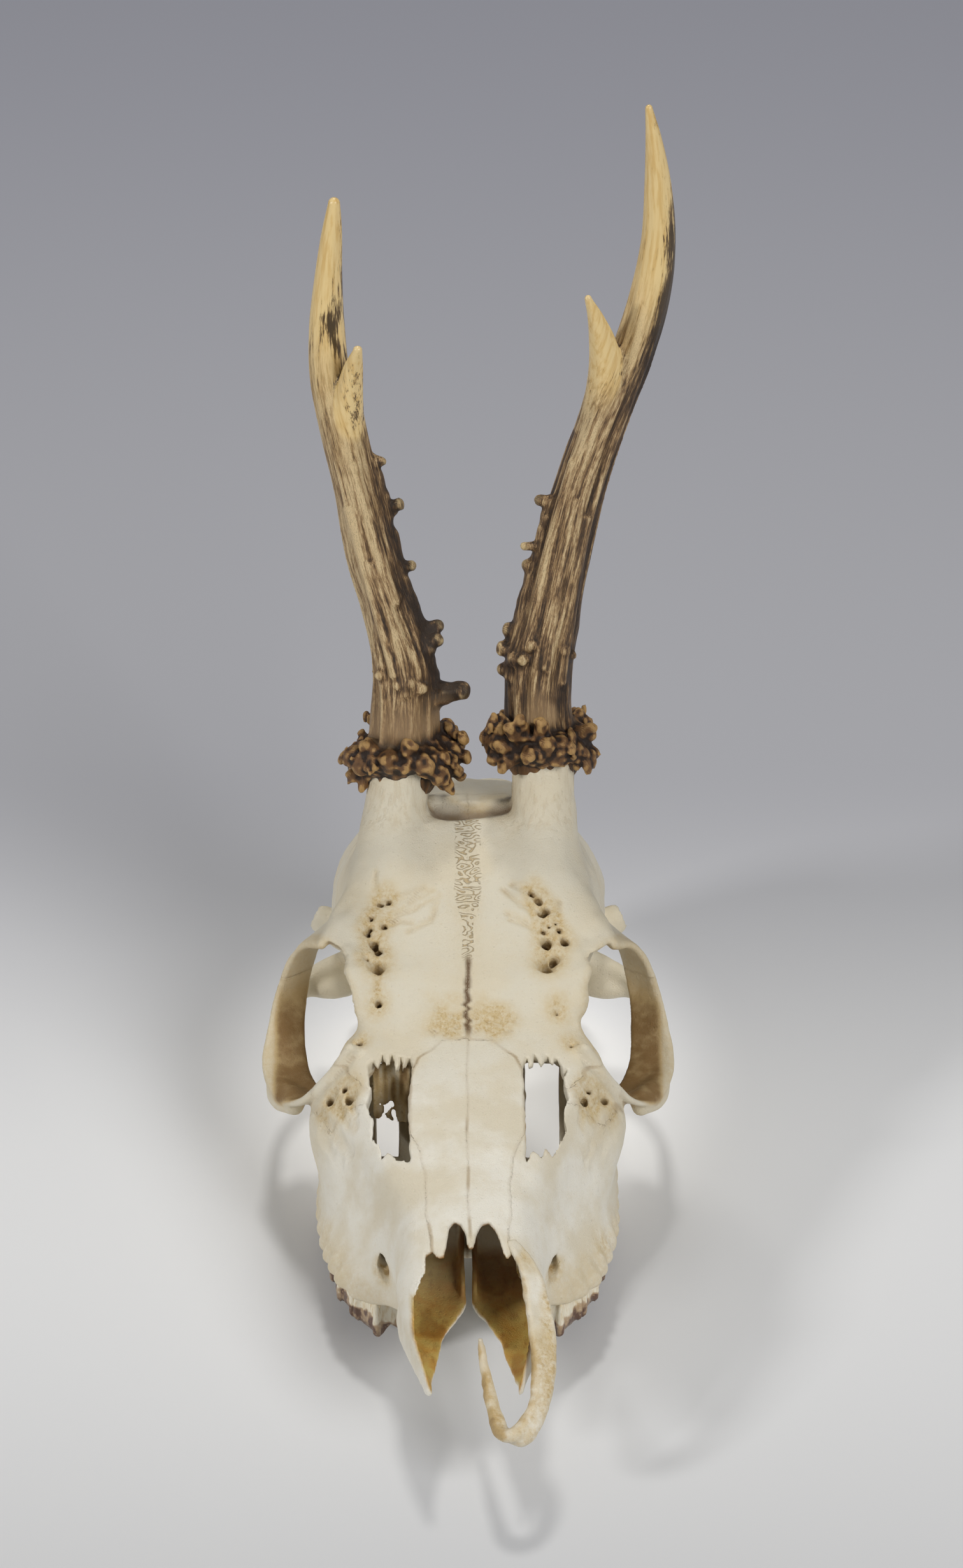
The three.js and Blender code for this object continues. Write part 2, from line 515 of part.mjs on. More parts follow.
// What is left of the right upper turbinate, a curled sheet behind the opening in the face.
const turbinate = () =>
  plate([[-13, 80, 34.5], [-18.6, 82, 38], [-20, 88, 42]], [[-12.4, 90, 37.4], [-17, 92, 40], [-19, 95, 42.6]], 1.6);

// ---- assembly -----------------------------------------------------------------------------------------------
// Warps the muzzle sideways.
function bend(geometry) {
  const at = geometry.attributes.position;
  for (let i = 0; i < at.count; i++) {
    const share = Math.max(0, BEND.from - at.getY(i)) / BEND.from;
    at.setX(i, at.getX(i) + BEND.reach * share * share);
  }
  return geometry;
}

function geometryOf(piece) {
  const { vertProperties, triVerts } = piece.getMesh();
  const geometry = new THREE.BufferGeometry()
    .setAttribute("position", new THREE.BufferAttribute(Float32Array.from(vertProperties), 3))
    .setIndex(new THREE.BufferAttribute(Uint32Array.from(triVerts), 1));
  bend(geometry).computeVertexNormals();
  return geometry;
}

// The resting pose, as a matrix from the anatomical frame: the muzzle rises about the cusps of the last molars.
function restingPose() {
  const lift = new THREE.Matrix4().makeRotationX(-REST_TILT);
  const toCusps = new THREE.Matrix4().makeTranslation(0, -MOLAR_REST.y, -MOLAR_REST.z);
  return lift.multiply(toCusps);
}

function flattened(piece, pose) {
  const ground = new THREE.BoxGeometry(400, 600, 40).translate(0, 0, -20);
  return piece.subtract(solid(ground.applyMatrix4(pose.clone().invert())));
}

function skull() {
  const pose = restingPose();
  const parts = {
    ...bones(),
    premaxilla_left: [premaxilla(), IVORY],
    turbinate_right: [turbinate(), IVORY],
    ...antler("left"),
    ...antler("right"),
  };
  const group = new THREE.Group();
  for (const [name, [piece, finish]] of Object.entries(parts)) {
    const rested = largest(flattened(piece, pose));
    const mesh = new THREE.Mesh(geometryOf(rested), new THREE.MeshStandardMaterial(finish));
    mesh.name = name;
    group.add(mesh);
  }
  group.applyMatrix4(pose);
  group.updateMatrixWorld(true);
  const box = new THREE.Box3().setFromObject(group, true);
  const middle = box.getCenter(V(0, 0, 0));
  const model = new THREE.Group();
  model.position.set(-middle.x, -middle.y, 0);
  return model.add(group);
}

export default skull();
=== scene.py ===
"""The skull of a young roe buck with its antlers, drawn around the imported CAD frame.

Each bone is made as a field of signed distance, in millimetres, in the skull's own frame: +X is the deer's
left, +Y runs back from the tip of the nose, and +Z is up from the plane in which the cheek teeth bite. A
field is negative inside the bone. `to_world` tips that frame into the resting pose, where the CAD stands.
"""
import math

import bpy
import numpy as np
import openvdb as vdb
from mathutils import Matrix


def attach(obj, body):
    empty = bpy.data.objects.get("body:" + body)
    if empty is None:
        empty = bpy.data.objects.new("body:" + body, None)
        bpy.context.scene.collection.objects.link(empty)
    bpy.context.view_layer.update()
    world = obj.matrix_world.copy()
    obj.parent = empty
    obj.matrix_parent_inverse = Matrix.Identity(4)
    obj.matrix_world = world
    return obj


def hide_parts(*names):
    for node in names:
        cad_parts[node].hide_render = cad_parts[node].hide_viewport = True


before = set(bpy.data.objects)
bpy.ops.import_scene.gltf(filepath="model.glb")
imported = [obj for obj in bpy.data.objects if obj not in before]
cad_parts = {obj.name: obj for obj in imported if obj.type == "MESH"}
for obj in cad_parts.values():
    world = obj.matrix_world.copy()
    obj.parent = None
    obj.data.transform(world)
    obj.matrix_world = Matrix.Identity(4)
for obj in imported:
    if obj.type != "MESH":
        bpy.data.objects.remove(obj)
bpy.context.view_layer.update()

# ---- driving dimensions, as in the CAD ----
TILT = math.atan2(8.1, 72)  # how far the muzzle is raised at rest
MOLAR_REST = (106.0, 0.4)  # y and z of the cusps that bear the face
SHIFT_Y = 5.24865  # puts the middle of the whole skull over the origin
BEND_FROM, BEND_REACH = 80.0, 2.4  # the muzzle is warped to the left in front of y = 80
SEAM = -0.3  # the lips of a suture are drawn this close before they are rounded
SIDES = {"left": 1, "right": -1}
EYE = (37.2, 115, 45)  # middle of the left orbit
EYE_RADIUS = 18.5
PEDICLE_PLACE = (16.4, 150)  # middle of the left pedicle, from above
BONE_PITCH = 0.5
TOOTH_PITCH = 0.28
ANTLER_PITCH = 0.36
FAR = 8.0  # distances are only kept this near to a surface


# ---- numbers ----
def smooth_step(low, high, value):
    t = np.clip((value - low) / (high - low), 0, 1)
    return t * t * (3 - 2 * t)


def bump(value, middle, width):
    """1 at the middle, falling smoothly to 0 at `width` from it."""
    return 1 - smooth_step(0, width, np.abs(value - middle))


def stretch(start, full, fades, end, value):
    """1 from `full` to `fades`, falling smoothly to 0 at `start` and at `end`."""
    return smooth_step(start, full, value) * smooth_step(end, fades, value)


def soft_min(a, b, soft):
    overlap = np.maximum(soft - np.abs(a - b), 0)
    return np.minimum(a, b) - overlap * overlap / (4 * soft + 1e-9)


def soft_max(a, b, soft):
    return -soft_min(-a, -b, soft)


def scrambled(cells, seed):
    """A fixed number from -1 to 1 for each cell of whole coordinates."""
    x, y, z = (cells[..., i].astype(np.int64) for i in range(3))
    mixed = (x * 73856093) ^ (y * 19349663) ^ (z * 83492791) ^ (seed * 2654435761)
    mixed = (mixed ^ (mixed >> 13)) & 0x7FFFFFFF
    mixed = (mixed * 1274126177 + 12345) & 0x7FFFFFFF
    mixed = (mixed ^ (mixed >> 16)) * 668265263 & 0x7FFFFFFF
    return ((mixed >> 8) & 0xFFFF) / 32767.5 - 1


def noise(points, size, seed=0):
    """Smooth noise from -1 to 1. `size` is the width of its lumps in mm, one for all axes or for each."""
    at = np.asarray(points, float) / np.asarray(size, float)
    cell = np.floor(at)
    part = at - cell
    part = part * part * (3 - 2 * part)
    total = 0
    for corner in np.ndindex(2, 2, 2):
        weight = np.prod(np.where(corner, part, 1 - part), axis=-1)
        total = total + weight * scrambled(cell + corner, seed)
    return total


def layered(points, size, seed=0, layers=3):
    size = np.asarray(size, float)
    return sum(noise(points, size / 2**i, seed + i) / 2**i for i in range(layers)) / 1.5


def curve(t, width, a, slope_a, b, slope_b):
    """The smooth curve from a to b over `width`, at the share t of the way."""
    return ((2 * t**3 - 3 * t**2 + 1) * a + (t**3 - 2 * t**2 + t) * width * slope_a
            + (3 * t**2 - 2 * t**3) * b + (t**3 - t**2) * width * slope_b)


def smooth_line(stops, step):
    """Points on a smooth line through the stops, `step` apart at most. Extra columns are carried along."""
    p = np.array(stops, float)
    length = np.linalg.norm(np.diff(p[:, :3], axis=0), axis=1)
    knots = np.r_[0, np.cumsum(np.sqrt(length))]
    slope = np.gradient(p, knots, axis=0)
    rows = [p[:1]]
    for i, reach in enumerate(length):
        count = max(1, math.ceil(reach / step))
        t = (np.arange(1, count + 1) / count)[:, None]
        rows.append(curve(t, knots[i + 1] - knots[i], p[i], slope[i], p[i + 1], slope[i + 1]))
    return np.concatenate(rows)


def mirrored(stops, side):
    return [(side * stop[0], *stop[1:]) for stop in stops]


# ---- fields ----
class Block:
    """A box of space with a regular grid in it."""

    def __init__(self, low, high, pitch):
        self.low, self.pitch = np.array(low, float), pitch
        self.count = 2 * np.ceil((np.array(high) - self.low) / (2 * pitch)).astype(int) + 1
        self.axes = [(a + pitch * np.arange(n)).astype(np.float32) for a, n in zip(self.low, self.count)]

    def coarser(self):
        """The same box with every second plane of the grid."""
        made = Block(self.low, self.low, 2 * self.pitch)
        made.axes = [axis[::2] for axis in self.axes]
        made.count = np.array([len(axis) for axis in made.axes])
        return made

    def empty(self):
        return np.full(self.count, FAR, np.float32)

    def window(self, low, high):
        """The slices of the grid from `low` to `high`, and the coordinates there, ready to broadcast."""
        starts = [int(np.searchsorted(axis, a)) for axis, a in zip(self.axes, low)]
        stops = [int(np.searchsorted(axis, b)) for axis, b in zip(self.axes, high)]
        cuts = tuple(slice(start, max(stop, start + 1)) for start, stop in zip(starts, stops))
        x, y, z = (axis[cut] for axis, cut in zip(self.axes, cuts))
        return cuts, x[:, None, None], y[None, :, None], z[None, None, :]

    def sample(self, field, points):
        """The field's values at any points."""
        at = np.clip((points - self.low) / self.pitch, 0, self.count - 1.001)
        cell = at.astype(int)
        part = at - cell
        total = 0
        for corner in np.ndindex(2, 2, 2):
            weight = np.prod(np.where(corner, part, 1 - part), axis=1)
            i, j, k = (cell + corner).T
            total = total + weight * field[i, j, k]
        return total


def outline_distance(outline, a, b):
    """Signed distance from each point (a, b) to a closed outline in the plane, on a grid of a by b."""
    start = np.array(outline, np.float32)
    end = np.roll(start, -1, axis=0)
    pa, pb = a.reshape(-1, 1).astype(np.float32), b.reshape(1, -1).astype(np.float32)
    nearest = np.full((pa.size, pb.size), np.inf, np.float32)
    inside = np.zeros(nearest.shape, bool)
    for (ax, ay), (bx, by) in zip(start, end):
        dx, dy = bx - ax, by - ay
        span = max(float(dx * dx + dy * dy), 1e-9)
        t = np.clip(((pa - ax) * dx + (pb - ay) * dy) / span, 0, 1)
        away = (pa - ax - t * dx) ** 2 + (pb - ay - t * dy) ** 2
        np.minimum(nearest, away, out=nearest)
        if ay != by:
            crosses = (pb >= min(ay, by)) & (pb < max(ay, by))
            inside ^= crosses & (pa < ax + (pb - ay) * dx / dy)
    distance = np.sqrt(nearest)
    return np.where(inside, -distance, distance)


def prism(block, outline, axis, low, high):
    """An outline in two of the axes, pushed from low to high along the third."""
    first, second = [i for i in range(3) if i != axis]
    flat = outline_distance(outline, block.axes[first], block.axes[second])
    flat = np.expand_dims(flat, axis)
    shape = [1, 1, 1]
    shape[axis] = -1
    along = block.axes[axis].reshape(shape)
    return np.maximum(flat, np.maximum(low - along, along - high))


def wavy(outline, size, seed, period=3.0, step=0.7):
    """A closed outline with small irregular waves along it."""
    closed = [*outline, outline[0]]
    rows = []
    for (ax, ay), (bx, by) in zip(closed, closed[1:]):
        count = max(1, math.ceil(math.hypot(bx - ax, by - ay) / step))
        rows += [(ax + (bx - ax) * k / count, ay + (by - ay) * k / count) for k in range(count)]
    p = np.array(rows)
    at = np.c_[p, np.zeros(len(p))]
    shift = np.stack([layered(at, period, seed), layered(at, period, seed + 50)], 1)
    return p + size * shift


def finer(values, axis):
    """Twice as many samples along an axis, on a smooth curve through the old ones."""
    v = np.moveaxis(values, axis, 0)
    out = np.empty((2 * len(v) - 1, *v.shape[1:]), np.float32)
    out[::2] = v
    before = np.concatenate([v[:1], v[:-2]])
    after = np.concatenate([v[2:], v[-1:]])
    out[1::2] = (9 * (v[:-1] + v[1:]) - before - after) / 16
    return np.moveaxis(out, 0, axis)


def loft(block, stations, soft=2.0):
    """A symmetrical body along y. A station is y and a half section, from the midline on top to below."""
    y_of = np.array([s[0] for s in stations], float)
    halves = np.array([s[1:] for s in stations], float)
    slope = np.gradient(halves, y_of, axis=0)
    coarse = block.coarser()
    middle = (coarse.count[0] - 1) // 2
    x_half = coarse.axes[0][middle:]
    keep_z = (coarse.axes[2] > halves[..., 1].min() - FAR) & (coarse.axes[2] < halves[..., 1].max() + FAR)
    field = np.full(coarse.count, FAR, np.float32)
    for j, y in enumerate(coarse.axes[1]):
        if not y_of[0] - FAR < y < y_of[-1] + FAR:
            continue
        at = np.clip(float(y), y_of[0], y_of[-1])
        i = min(int(np.searchsorted(y_of, at, side="right")) - 1, len(y_of) - 2)
        width = y_of[i + 1] - y_of[i]
        t = (at - y_of[i]) / width
        half = curve(t, width, halves[i], slope[i], halves[i + 1], slope[i + 1])
        loop = np.concatenate([half, half[-2:0:-1] * (-1, 1), half[:2]])
        section = smooth_line(np.c_[loop, np.zeros(len(loop))], 2.5)[:-1, :2]
        first = np.argmin(np.linalg.norm(section - loop[0], axis=1))
        last = np.argmin(np.linalg.norm(section[len(section) // 2:] - loop[0], axis=1)) + len(section) // 2
        section = section[first:last]
        sheet = outline_distance(section, x_half, coarse.axes[2][keep_z])
        sheet = soft_max(sheet, np.float32(max(y_of[0] - y, y - y_of[-1])), soft)
        row = np.full((len(x_half), len(coarse.axes[2])), FAR, np.float32)
        row[:, keep_z] = sheet
        field[middle:, j] = row
        field[:middle, j] = row[:0:-1]
    steepness = np.sqrt(sum(g * g for g in np.gradient(field, coarse.pitch)))
    field /= np.clip(steepness, 1, 3)
    for axis in range(3):
        field = finer(field, axis)
    return np.clip(field, -FAR, FAR)


def web(block, edge_a, edge_b, radius, margin=3.0):
    """A round-edged sheet between two lines of points, as thick as twice `radius` at each pair."""
    a, b = np.asarray(edge_a, float)[:, :3], np.asarray(edge_b, float)[:, :3]
    radius = np.broadcast_to(radius, len(a)).astype(float)
    pad = (radius + margin)[:, None]
    lows, highs = np.minimum(a, b) - pad, np.maximum(a, b) + pad
    whole, *_ = block.window(lows.min(0), highs.max(0))
    shape = tuple(c.stop - c.start for c in whole)
    field = np.full(shape, FAR, np.float32)
    for p, q, r, low, high in zip(a, b, radius, lows, highs):
        cuts, x, y, z = block.window(low, high)
        ax, ay, az = (q - p).astype(np.float32)
        dx, dy, dz = x - np.float32(p[0]), y - np.float32(p[1]), z - np.float32(p[2])
        span = ax * ax + ay * ay + az * az
        if span > 1e-6:
            t = np.clip((dx * ax + dy * ay + dz * az) / span, 0, 1)
            away = np.sqrt((dx - t * ax) ** 2 + (dy - t * ay) ** 2 + (dz - t * az) ** 2) - r
        else:
            away = np.sqrt(dx * dx + dy * dy + dz * dz) - r
        inner = tuple(slice(c.start - w.start, c.stop - w.start) for c, w in zip(cuts, whole))
        np.minimum(field[inner], away, out=field[inner])
    return whole, field


def rod(block, stops, across=(1, 0, 0), step=0.6, margin=3.0):
    """A round or flattened rod along a smooth line of stops (x, y, z, half width, half height)."""
    line = smooth_line([(*s[:4], s[4] if len(s) > 4 else s[3]) for s in stops], step)
    along = np.gradient(line[:, :3], axis=0)
    along /= np.linalg.norm(along, axis=1)[:, None]
    over = np.array(across, float) - along * (along @ np.array(across, float))[:, None]
    over /= np.linalg.norm(over, axis=1)[:, None]
    thin = np.minimum(line[:, 3], line[:, 4])
    wide = np.where(line[:, 3:4] >= line[:, 4:5], over, np.cross(along, over))
    reach = wide * (np.maximum(line[:, 3], line[:, 4]) - thin)[:, None]
    return web(block, line[:, :3] - reach, line[:, :3] + reach, thin, margin)


def spread(values, share):
    """A row of values, read at each share of the way along it."""
    return np.interp(share, np.linspace(0, 1, len(values)), values)


def plate(block, edge_a, edge_b, thickness, margin=3.0, step=0.6):
    """A plate between two smooth edges, each a list of (x, y, z)."""
    a, b = (smooth_line(edge, 0.3) for edge in (edge_a, edge_b))
    count = math.ceil(max(np.linalg.norm(np.diff(e, axis=0), axis=1).sum() for e in (a, b)) / step)
    share = np.linspace(0, 1, count)
    a, b = (np.stack([spread(column, share) for column in e.T], 1) for e in (a, b))
    return web(block, a, b, spread(np.atleast_1d(thickness), share) / 2, margin)


def blob(block, centre, radii, margin=4.0):
    """An ellipsoid."""
    centre, radii = np.array(centre, np.float32), np.array(radii, np.float32)
    whole, x, y, z = block.window(centre - radii - margin, centre + radii + margin)
    u, v, w = ((c - m) / r for c, m, r in zip((x, y, z), centre, radii))
    reach = np.sqrt(u * u + v * v + w * w)
    steep = np.sqrt((u / radii[0]) ** 2 + (v / radii[1]) ** 2 + (w / radii[2]) ** 2)
    return whole, reach * (reach - 1) / np.maximum(steep, 1e-6)


def roughened(block, made, size, period, seed):
    """The same body with an uneven surface."""
    where, shape = made
    grid = np.stack(np.meshgrid(*(axis[cut] for axis, cut in zip(block.axes, where)), indexing="ij"), -1)
    return where, shape + size * noise(grid, period, seed).astype(np.float32)


def add(field, made, soft=0.0):
    where, shape = made
    field[where] = soft_min(field[where], shape, soft)


def cut(field, made, soft=0.0):
    where, shape = made
    field[where] = soft_max(field[where], -shape, soft)


# ---- surfaces ----
def sums(index, values, count):
    return np.stack([np.bincount(index, values[:, i], count) for i in range(values.shape[1])], 1)


def largest_shell(points, quads):
    """Only the largest connected piece of a surface."""
    label = np.arange(len(points))
    edges = np.concatenate([quads[:, [0, 1]], quads[:, [1, 2]], quads[:, [2, 3]]])
    while True:
        ends = label[edges]
        lowest = ends.min(1)
        fresh = label.copy()
        np.minimum.at(fresh, ends[:, 0], lowest)
        np.minimum.at(fresh, ends[:, 1], lowest)
        fresh = fresh[fresh[fresh]]
        if (fresh == label).all():
            break
        label = fresh
    biggest = np.bincount(label).argmax()
    kept = label == biggest
    new_index = np.cumsum(kept) - 1
    return points[kept], new_index[quads[kept[quads[:, 0]]]]


def skin(block, field):
    """The surface of the largest body in a field: points in mm, and faces of four corners, looking out."""
    near = field < 2 * block.pitch
    spans = []
    for axis in range(3):
        hit = np.flatnonzero(near.any(axis=tuple(a for a in range(3) if a != axis)))
        spans.append(slice(max(hit[0] - 3, 0), min(hit[-1] + 4, near.shape[axis])))
    reach = 3 * block.pitch
    part = np.clip(field[tuple(spans)], -reach, reach)
    edged = np.pad(part, 1, constant_values=reach).astype(np.float32)
    grid = vdb.FloatGrid(reach)
    grid.copyFromArray(edged)
    points, _, quads = grid.convertToPolygons(isovalue=0.0, adaptivity=0.0)
    start = np.array([s.start - 1 for s in spans])
    points, quads = largest_shell((points + start) * block.pitch + block.low, quads.astype(np.int64))
    a, b, c, d = (points[quads[:, i]] for i in range(4))
    if np.einsum("ij,ij->i", a + c, np.cross(c - a, d - b)).sum() < 0:
        quads = quads[:, ::-1]
    return points, quads


def normals_of(points, quads):
    a, b, c, d = (points[quads[:, i]] for i in range(4))
    across = np.cross(c - a, d - b)
    total = sum(sums(quads[:, i], across, len(points)) for i in range(4))
    return total / np.maximum(np.linalg.norm(total, axis=1), 1e-9)[:, None]


def hollowness(points, quads, normals, rounds=3):
    """How much the surface curves in (above 0) or out (below 0) about each point, in mm."""
    index = quads.ravel()
    around = np.roll(quads, -1, axis=1).ravel()
    count = np.bincount(index, minlength=len(points)) + np.bincount(around, minlength=len(points))

    def averaged(source):
        total = sums(index, source[around], len(points)) + sums(around, source[index], len(points))
        return total / count[:, None]

    value = np.einsum("ij,ij->i", averaged(points) - points, normals)
    for _ in range(rounds - 1):
        value = averaged(value[:, None])[:, 0]
    return value


def at_rest(y, z):
    """Where a place of the skull's frame lies at rest: y and the height, in mm."""
    back, up = y - MOLAR_REST[0], z - MOLAR_REST[1]
    lean, rise = math.cos(TILT), math.sin(TILT)
    return back * lean + up * rise + SHIFT_Y, up * lean - back * rise


def to_world(points):
    """Points of the skull's frame in mm as points of the row frame in metres."""
    x, y, z = points.T
    x = x + BEND_REACH * (np.maximum(0, BEND_FROM - y) / BEND_FROM) ** 2
    y, height = at_rest(y, z)
    return np.stack([x, y, np.maximum(height, 0)], 1) / 1000


def make_piece(name, points, quads, material, slot, nodes, **values):
    """A piece of the visual model. Each extra value is kept with the points, for the material to read."""
    mesh = bpy.data.meshes.new(name)
    mesh.vertices.add(len(points))
    mesh.vertices.foreach_set("co", to_world(points).astype(np.float32).ravel())
    mesh.loops.add(quads.size)
    mesh.loops.foreach_set("vertex_index", quads.astype(np.int32).ravel())
    mesh.polygons.add(len(quads))
    mesh.polygons.foreach_set("loop_start", np.arange(0, quads.size, 4, dtype=np.int32))
    mesh.update(calc_edges=True)
    mesh.validate()
    mesh.shade_smooth()
    for key, value in values.items():
        kind = ("FLOAT_VECTOR", "vector") if value.ndim == 2 else ("FLOAT", "value")
        layer = mesh.attributes.new(key, kind[0], "POINT")
        layer.data.foreach_set(kind[1], value.astype(np.float32).ravel())
    mesh.materials.append(material)
    piece = bpy.data.objects.new(name, mesh)
    bpy.context.scene.collection.objects.link(piece)
    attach(piece, "root")
    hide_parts(*nodes)
    return piece


# ---- materials ----
class Shader:
    """A material whose nodes are made one after another."""

    def __init__(self, name):
        self.material = bpy.data.materials.new(name)
        self.material.use_nodes = True
        self.tree = self.material.node_tree
        self.surface = self.tree.nodes["Principled BSDF"]

    def node(self, kind, inputs=(), output=0, **settings):
        made = self.tree.nodes.new(kind)
        for key, value in settings.items():
            setattr(made, key, value)
        self.plug(made, dict(inputs))
        return made.outputs[output]

    def plug(self, node, inputs):
        for key, value in inputs.items():
            if isinstance(value, bpy.types.NodeSocket):
                self.tree.links.new(value, node.inputs[key])
            else:
                node.inputs[key].default_value = value

    def value(self, name):
        return self.node("ShaderNodeAttribute", output="Fac", attribute_name=name)

    def vector(self, name):
        return self.node("ShaderNodeAttribute", output="Vector", attribute_name=name)

    def math(self, operation, a, b=0.0, clamp=False):
        return self.node("ShaderNodeMath", {0: a, 1: b}, operation=operation, use_clamp=clamp)

    def scaled(self, vector, scale):
        return self.node("ShaderNodeVectorMath", {0: vector, 1: scale}, operation="MULTIPLY")

    def noise(self, vector, scale, detail=3.0, rough=0.55):
        inputs = {"Vector": vector, "Scale": scale, "Detail": detail, "Roughness": rough}
        return self.node("ShaderNodeTexNoise", inputs)

    def ramp(self, value, low, high, to_low=0.0, to_high=1.0):
        inputs = {"Value": value, "From Min": low, "From Max": high, "To Min": to_low, "To Max": to_high}
        return self.node("ShaderNodeMapRange", inputs, interpolation_type="SMOOTHSTEP")

    def mix(self, share, a, b):
        """From colour a to colour b. Each is a socket or three numbers."""
        inputs = {0: share, 6: a if isinstance(a, bpy.types.NodeSocket) else (*a, 1),
                  7: b if isinstance(b, bpy.types.NodeSocket) else (*b, 1)}
        return self.node("ShaderNodeMix", inputs, output=2, data_type="RGBA", blend_type="MIX")

    def bumped(self, height, distance, strength=1.0, under=None):
        inputs = {"Height": height, "Distance": distance, "Strength": strength}
        if under is not None:
            inputs["Normal"] = under
        return self.node("ShaderNodeBump", inputs)

    def finish(self, **inputs):
        self.plug(self.surface, {key.replace("_", " "): value for key, value in inputs.items()})
        return self.material


IVORY = (0.78, 0.725, 0.585)
CREAM = (0.78, 0.70, 0.53)
TAN = (0.62, 0.44, 0.17)
UMBER = (0.25, 0.09, 0.010)
SOIL_AND_SHADE = (0.13, 0.065, 0.022)


def bone_material():
    s = Shader("bone")
    place = s.vector("place")
    broad = s.noise(place, 0.06, 4)
    middle = s.noise(place, 0.35, 5, 0.6)
    fine = s.noise(place, 1.6, 5, 0.65)
    # the bone is painted whiter towards the muzzle: painted light that brightens the muzzle against the
    # frontals
    colour = s.mix(s.value("painted_light_towards_muzzle"), IVORY, (0.91, 0.875, 0.77))
    colour = s.mix(s.ramp(broad, 0.4, 0.64, 0.0, 0.85), colour, CREAM)
    colour = s.mix(s.math("MULTIPLY", s.ramp(middle, 0.5, 0.78), 0.3), colour, CREAM)
    speck = s.math("MULTIPLY", s.ramp(fine, 0.58, 0.74), 0.22)
    colour = s.mix(speck, colour, TAN)
    # tan stains, broken up by the noise
    broken = s.ramp(s.noise(place, 0.9, 5, 0.7), 0.3, 0.62, 0.35, 1.0)
    stain = s.math("MULTIPLY", s.value("stain"), broken)
    colour = s.mix(s.math("MULTIPLY", stain, 0.85), colour, (0.66, 0.50, 0.24))
    blotch = s.math("MULTIPLY", s.ramp(stain, 0.5, 1.0), s.ramp(fine, 0.45, 0.62, 0.0, 0.6))
    colour = s.mix(blotch, colour, (0.50, 0.33, 0.13))
    # the inside of the ring of the orbit
    ring = s.math("MULTIPLY", s.value("ring"), s.ramp(s.noise(place, 0.25, 5, 0.6), 0.25, 0.75, 0.6, 1.0))
    colour = s.mix(s.ramp(ring, 0.0, 0.5, 0.0, 0.85), colour, (0.56, 0.40, 0.18))
    colour = s.mix(s.ramp(ring, 0.35, 0.9, 0.0, 0.9), colour, (0.23, 0.125, 0.035))
    # fibres of the pedicles
    fibre = s.noise(s.scaled(place, (1.0, 1.0, 0.12)), 0.9, 4, 0.6)
    fibres = s.math("MULTIPLY", s.value("fibre"), s.ramp(fibre, 0.45, 0.66))
    colour = s.mix(s.math("MULTIPLY", fibres, 0.3), colour, (0.60, 0.47, 0.28))
    # the sutures: a fine line along every seam, and close loops in a band between the frontals
    seam = s.math("MULTIPLY", s.ramp(s.value("seam"), 0.16, 0.62, 1.0, 0.0), s.value("seam_dark"))
    colour = s.mix(seam, colour, (0.40, 0.26, 0.10))
    loops = s.noise(s.scaled(place, (0.5, 1.0, 0.5)), 0.62, 0.6, 0.5)
    turns = s.math("PINGPONG", s.math("MULTIPLY", loops, 6.0), 0.5)
    within = s.ramp(s.math("ABSOLUTE", s.value("across")), 0.8, 1.05, 1.0, 0.0)
    band = s.math("MULTIPLY", within, s.value("zigzag"), True)
    line = s.math("MULTIPLY", s.ramp(turns, 0.05, 0.2, 1.0, 0.0), band)
    colour = s.mix(s.math("MULTIPLY", band, 0.25), colour, CREAM)
    colour = s.mix(s.math("MULTIPLY", line, 0.7), colour, (0.52, 0.37, 0.17))
    # hollows are painted darker brown: painted shade, together with dirt. The depth of the nose and the
    # orbits is brown
    crevice_shade_and_dirt = s.math("MULTIPLY", s.value("crevice_shade_and_dirt"), s.ramp(fine, 0.25, 0.6, 0.5, 1.0))
    colour = s.mix(s.math("MULTIPLY", crevice_shade_and_dirt, 0.8, True), colour, (0.34, 0.22, 0.09))
    clouds = s.noise(place, 0.22, 5, 0.62)
    lining = s.mix(s.ramp(clouds, 0.36, 0.66), (0.60, 0.44, 0.12), (0.56, 0.31, 0.06))
    streaks = s.noise(s.scaled(place, (1.0, 0.35, 1.0)), 0.8, 5, 0.65)
    lining = s.mix(s.ramp(streaks, 0.5, 0.72, 0.0, 0.5), lining, UMBER)
    colour = s.mix(s.value("lining"), colour, lining)
    deep = s.math("MULTIPLY", s.value("deep"), s.ramp(s.noise(place, 0.3, 5, 0.6), 0.2, 0.6, 0.7, 1.0))
    colour = s.mix(deep, colour, UMBER)
    # soil in the crack, and soil with painted shade in the pits of the holes and in the hollow between the
    # pedicles
    colour = s.mix(s.value("soil_and_shade"), colour, SOIL_AND_SHADE)
    grain = s.noise(place, 2.6, 6, 0.7)
    pores = s.node("ShaderNodeTexVoronoi", {"Vector": place, "Scale": 0.8, "Randomness": 1.0})
    pore_depth = s.ramp(pores, 0.05, 0.22)
    rough = s.ramp(middle, 0.3, 0.7, 0.40, 0.6)
    normal = s.bumped(grain, 0.00045, 0.6)
    normal = s.bumped(pore_depth, 0.0002, 0.4, normal)
    normal = s.bumped(fibres, 0.0003, 0.4, normal)
    normal = s.bumped(s.math("SUBTRACT", 1.0, line), 0.0005, 0.8, normal)
    return s.finish(Base_Color=colour, Roughness=rough, Normal=normal, IOR=1.5)


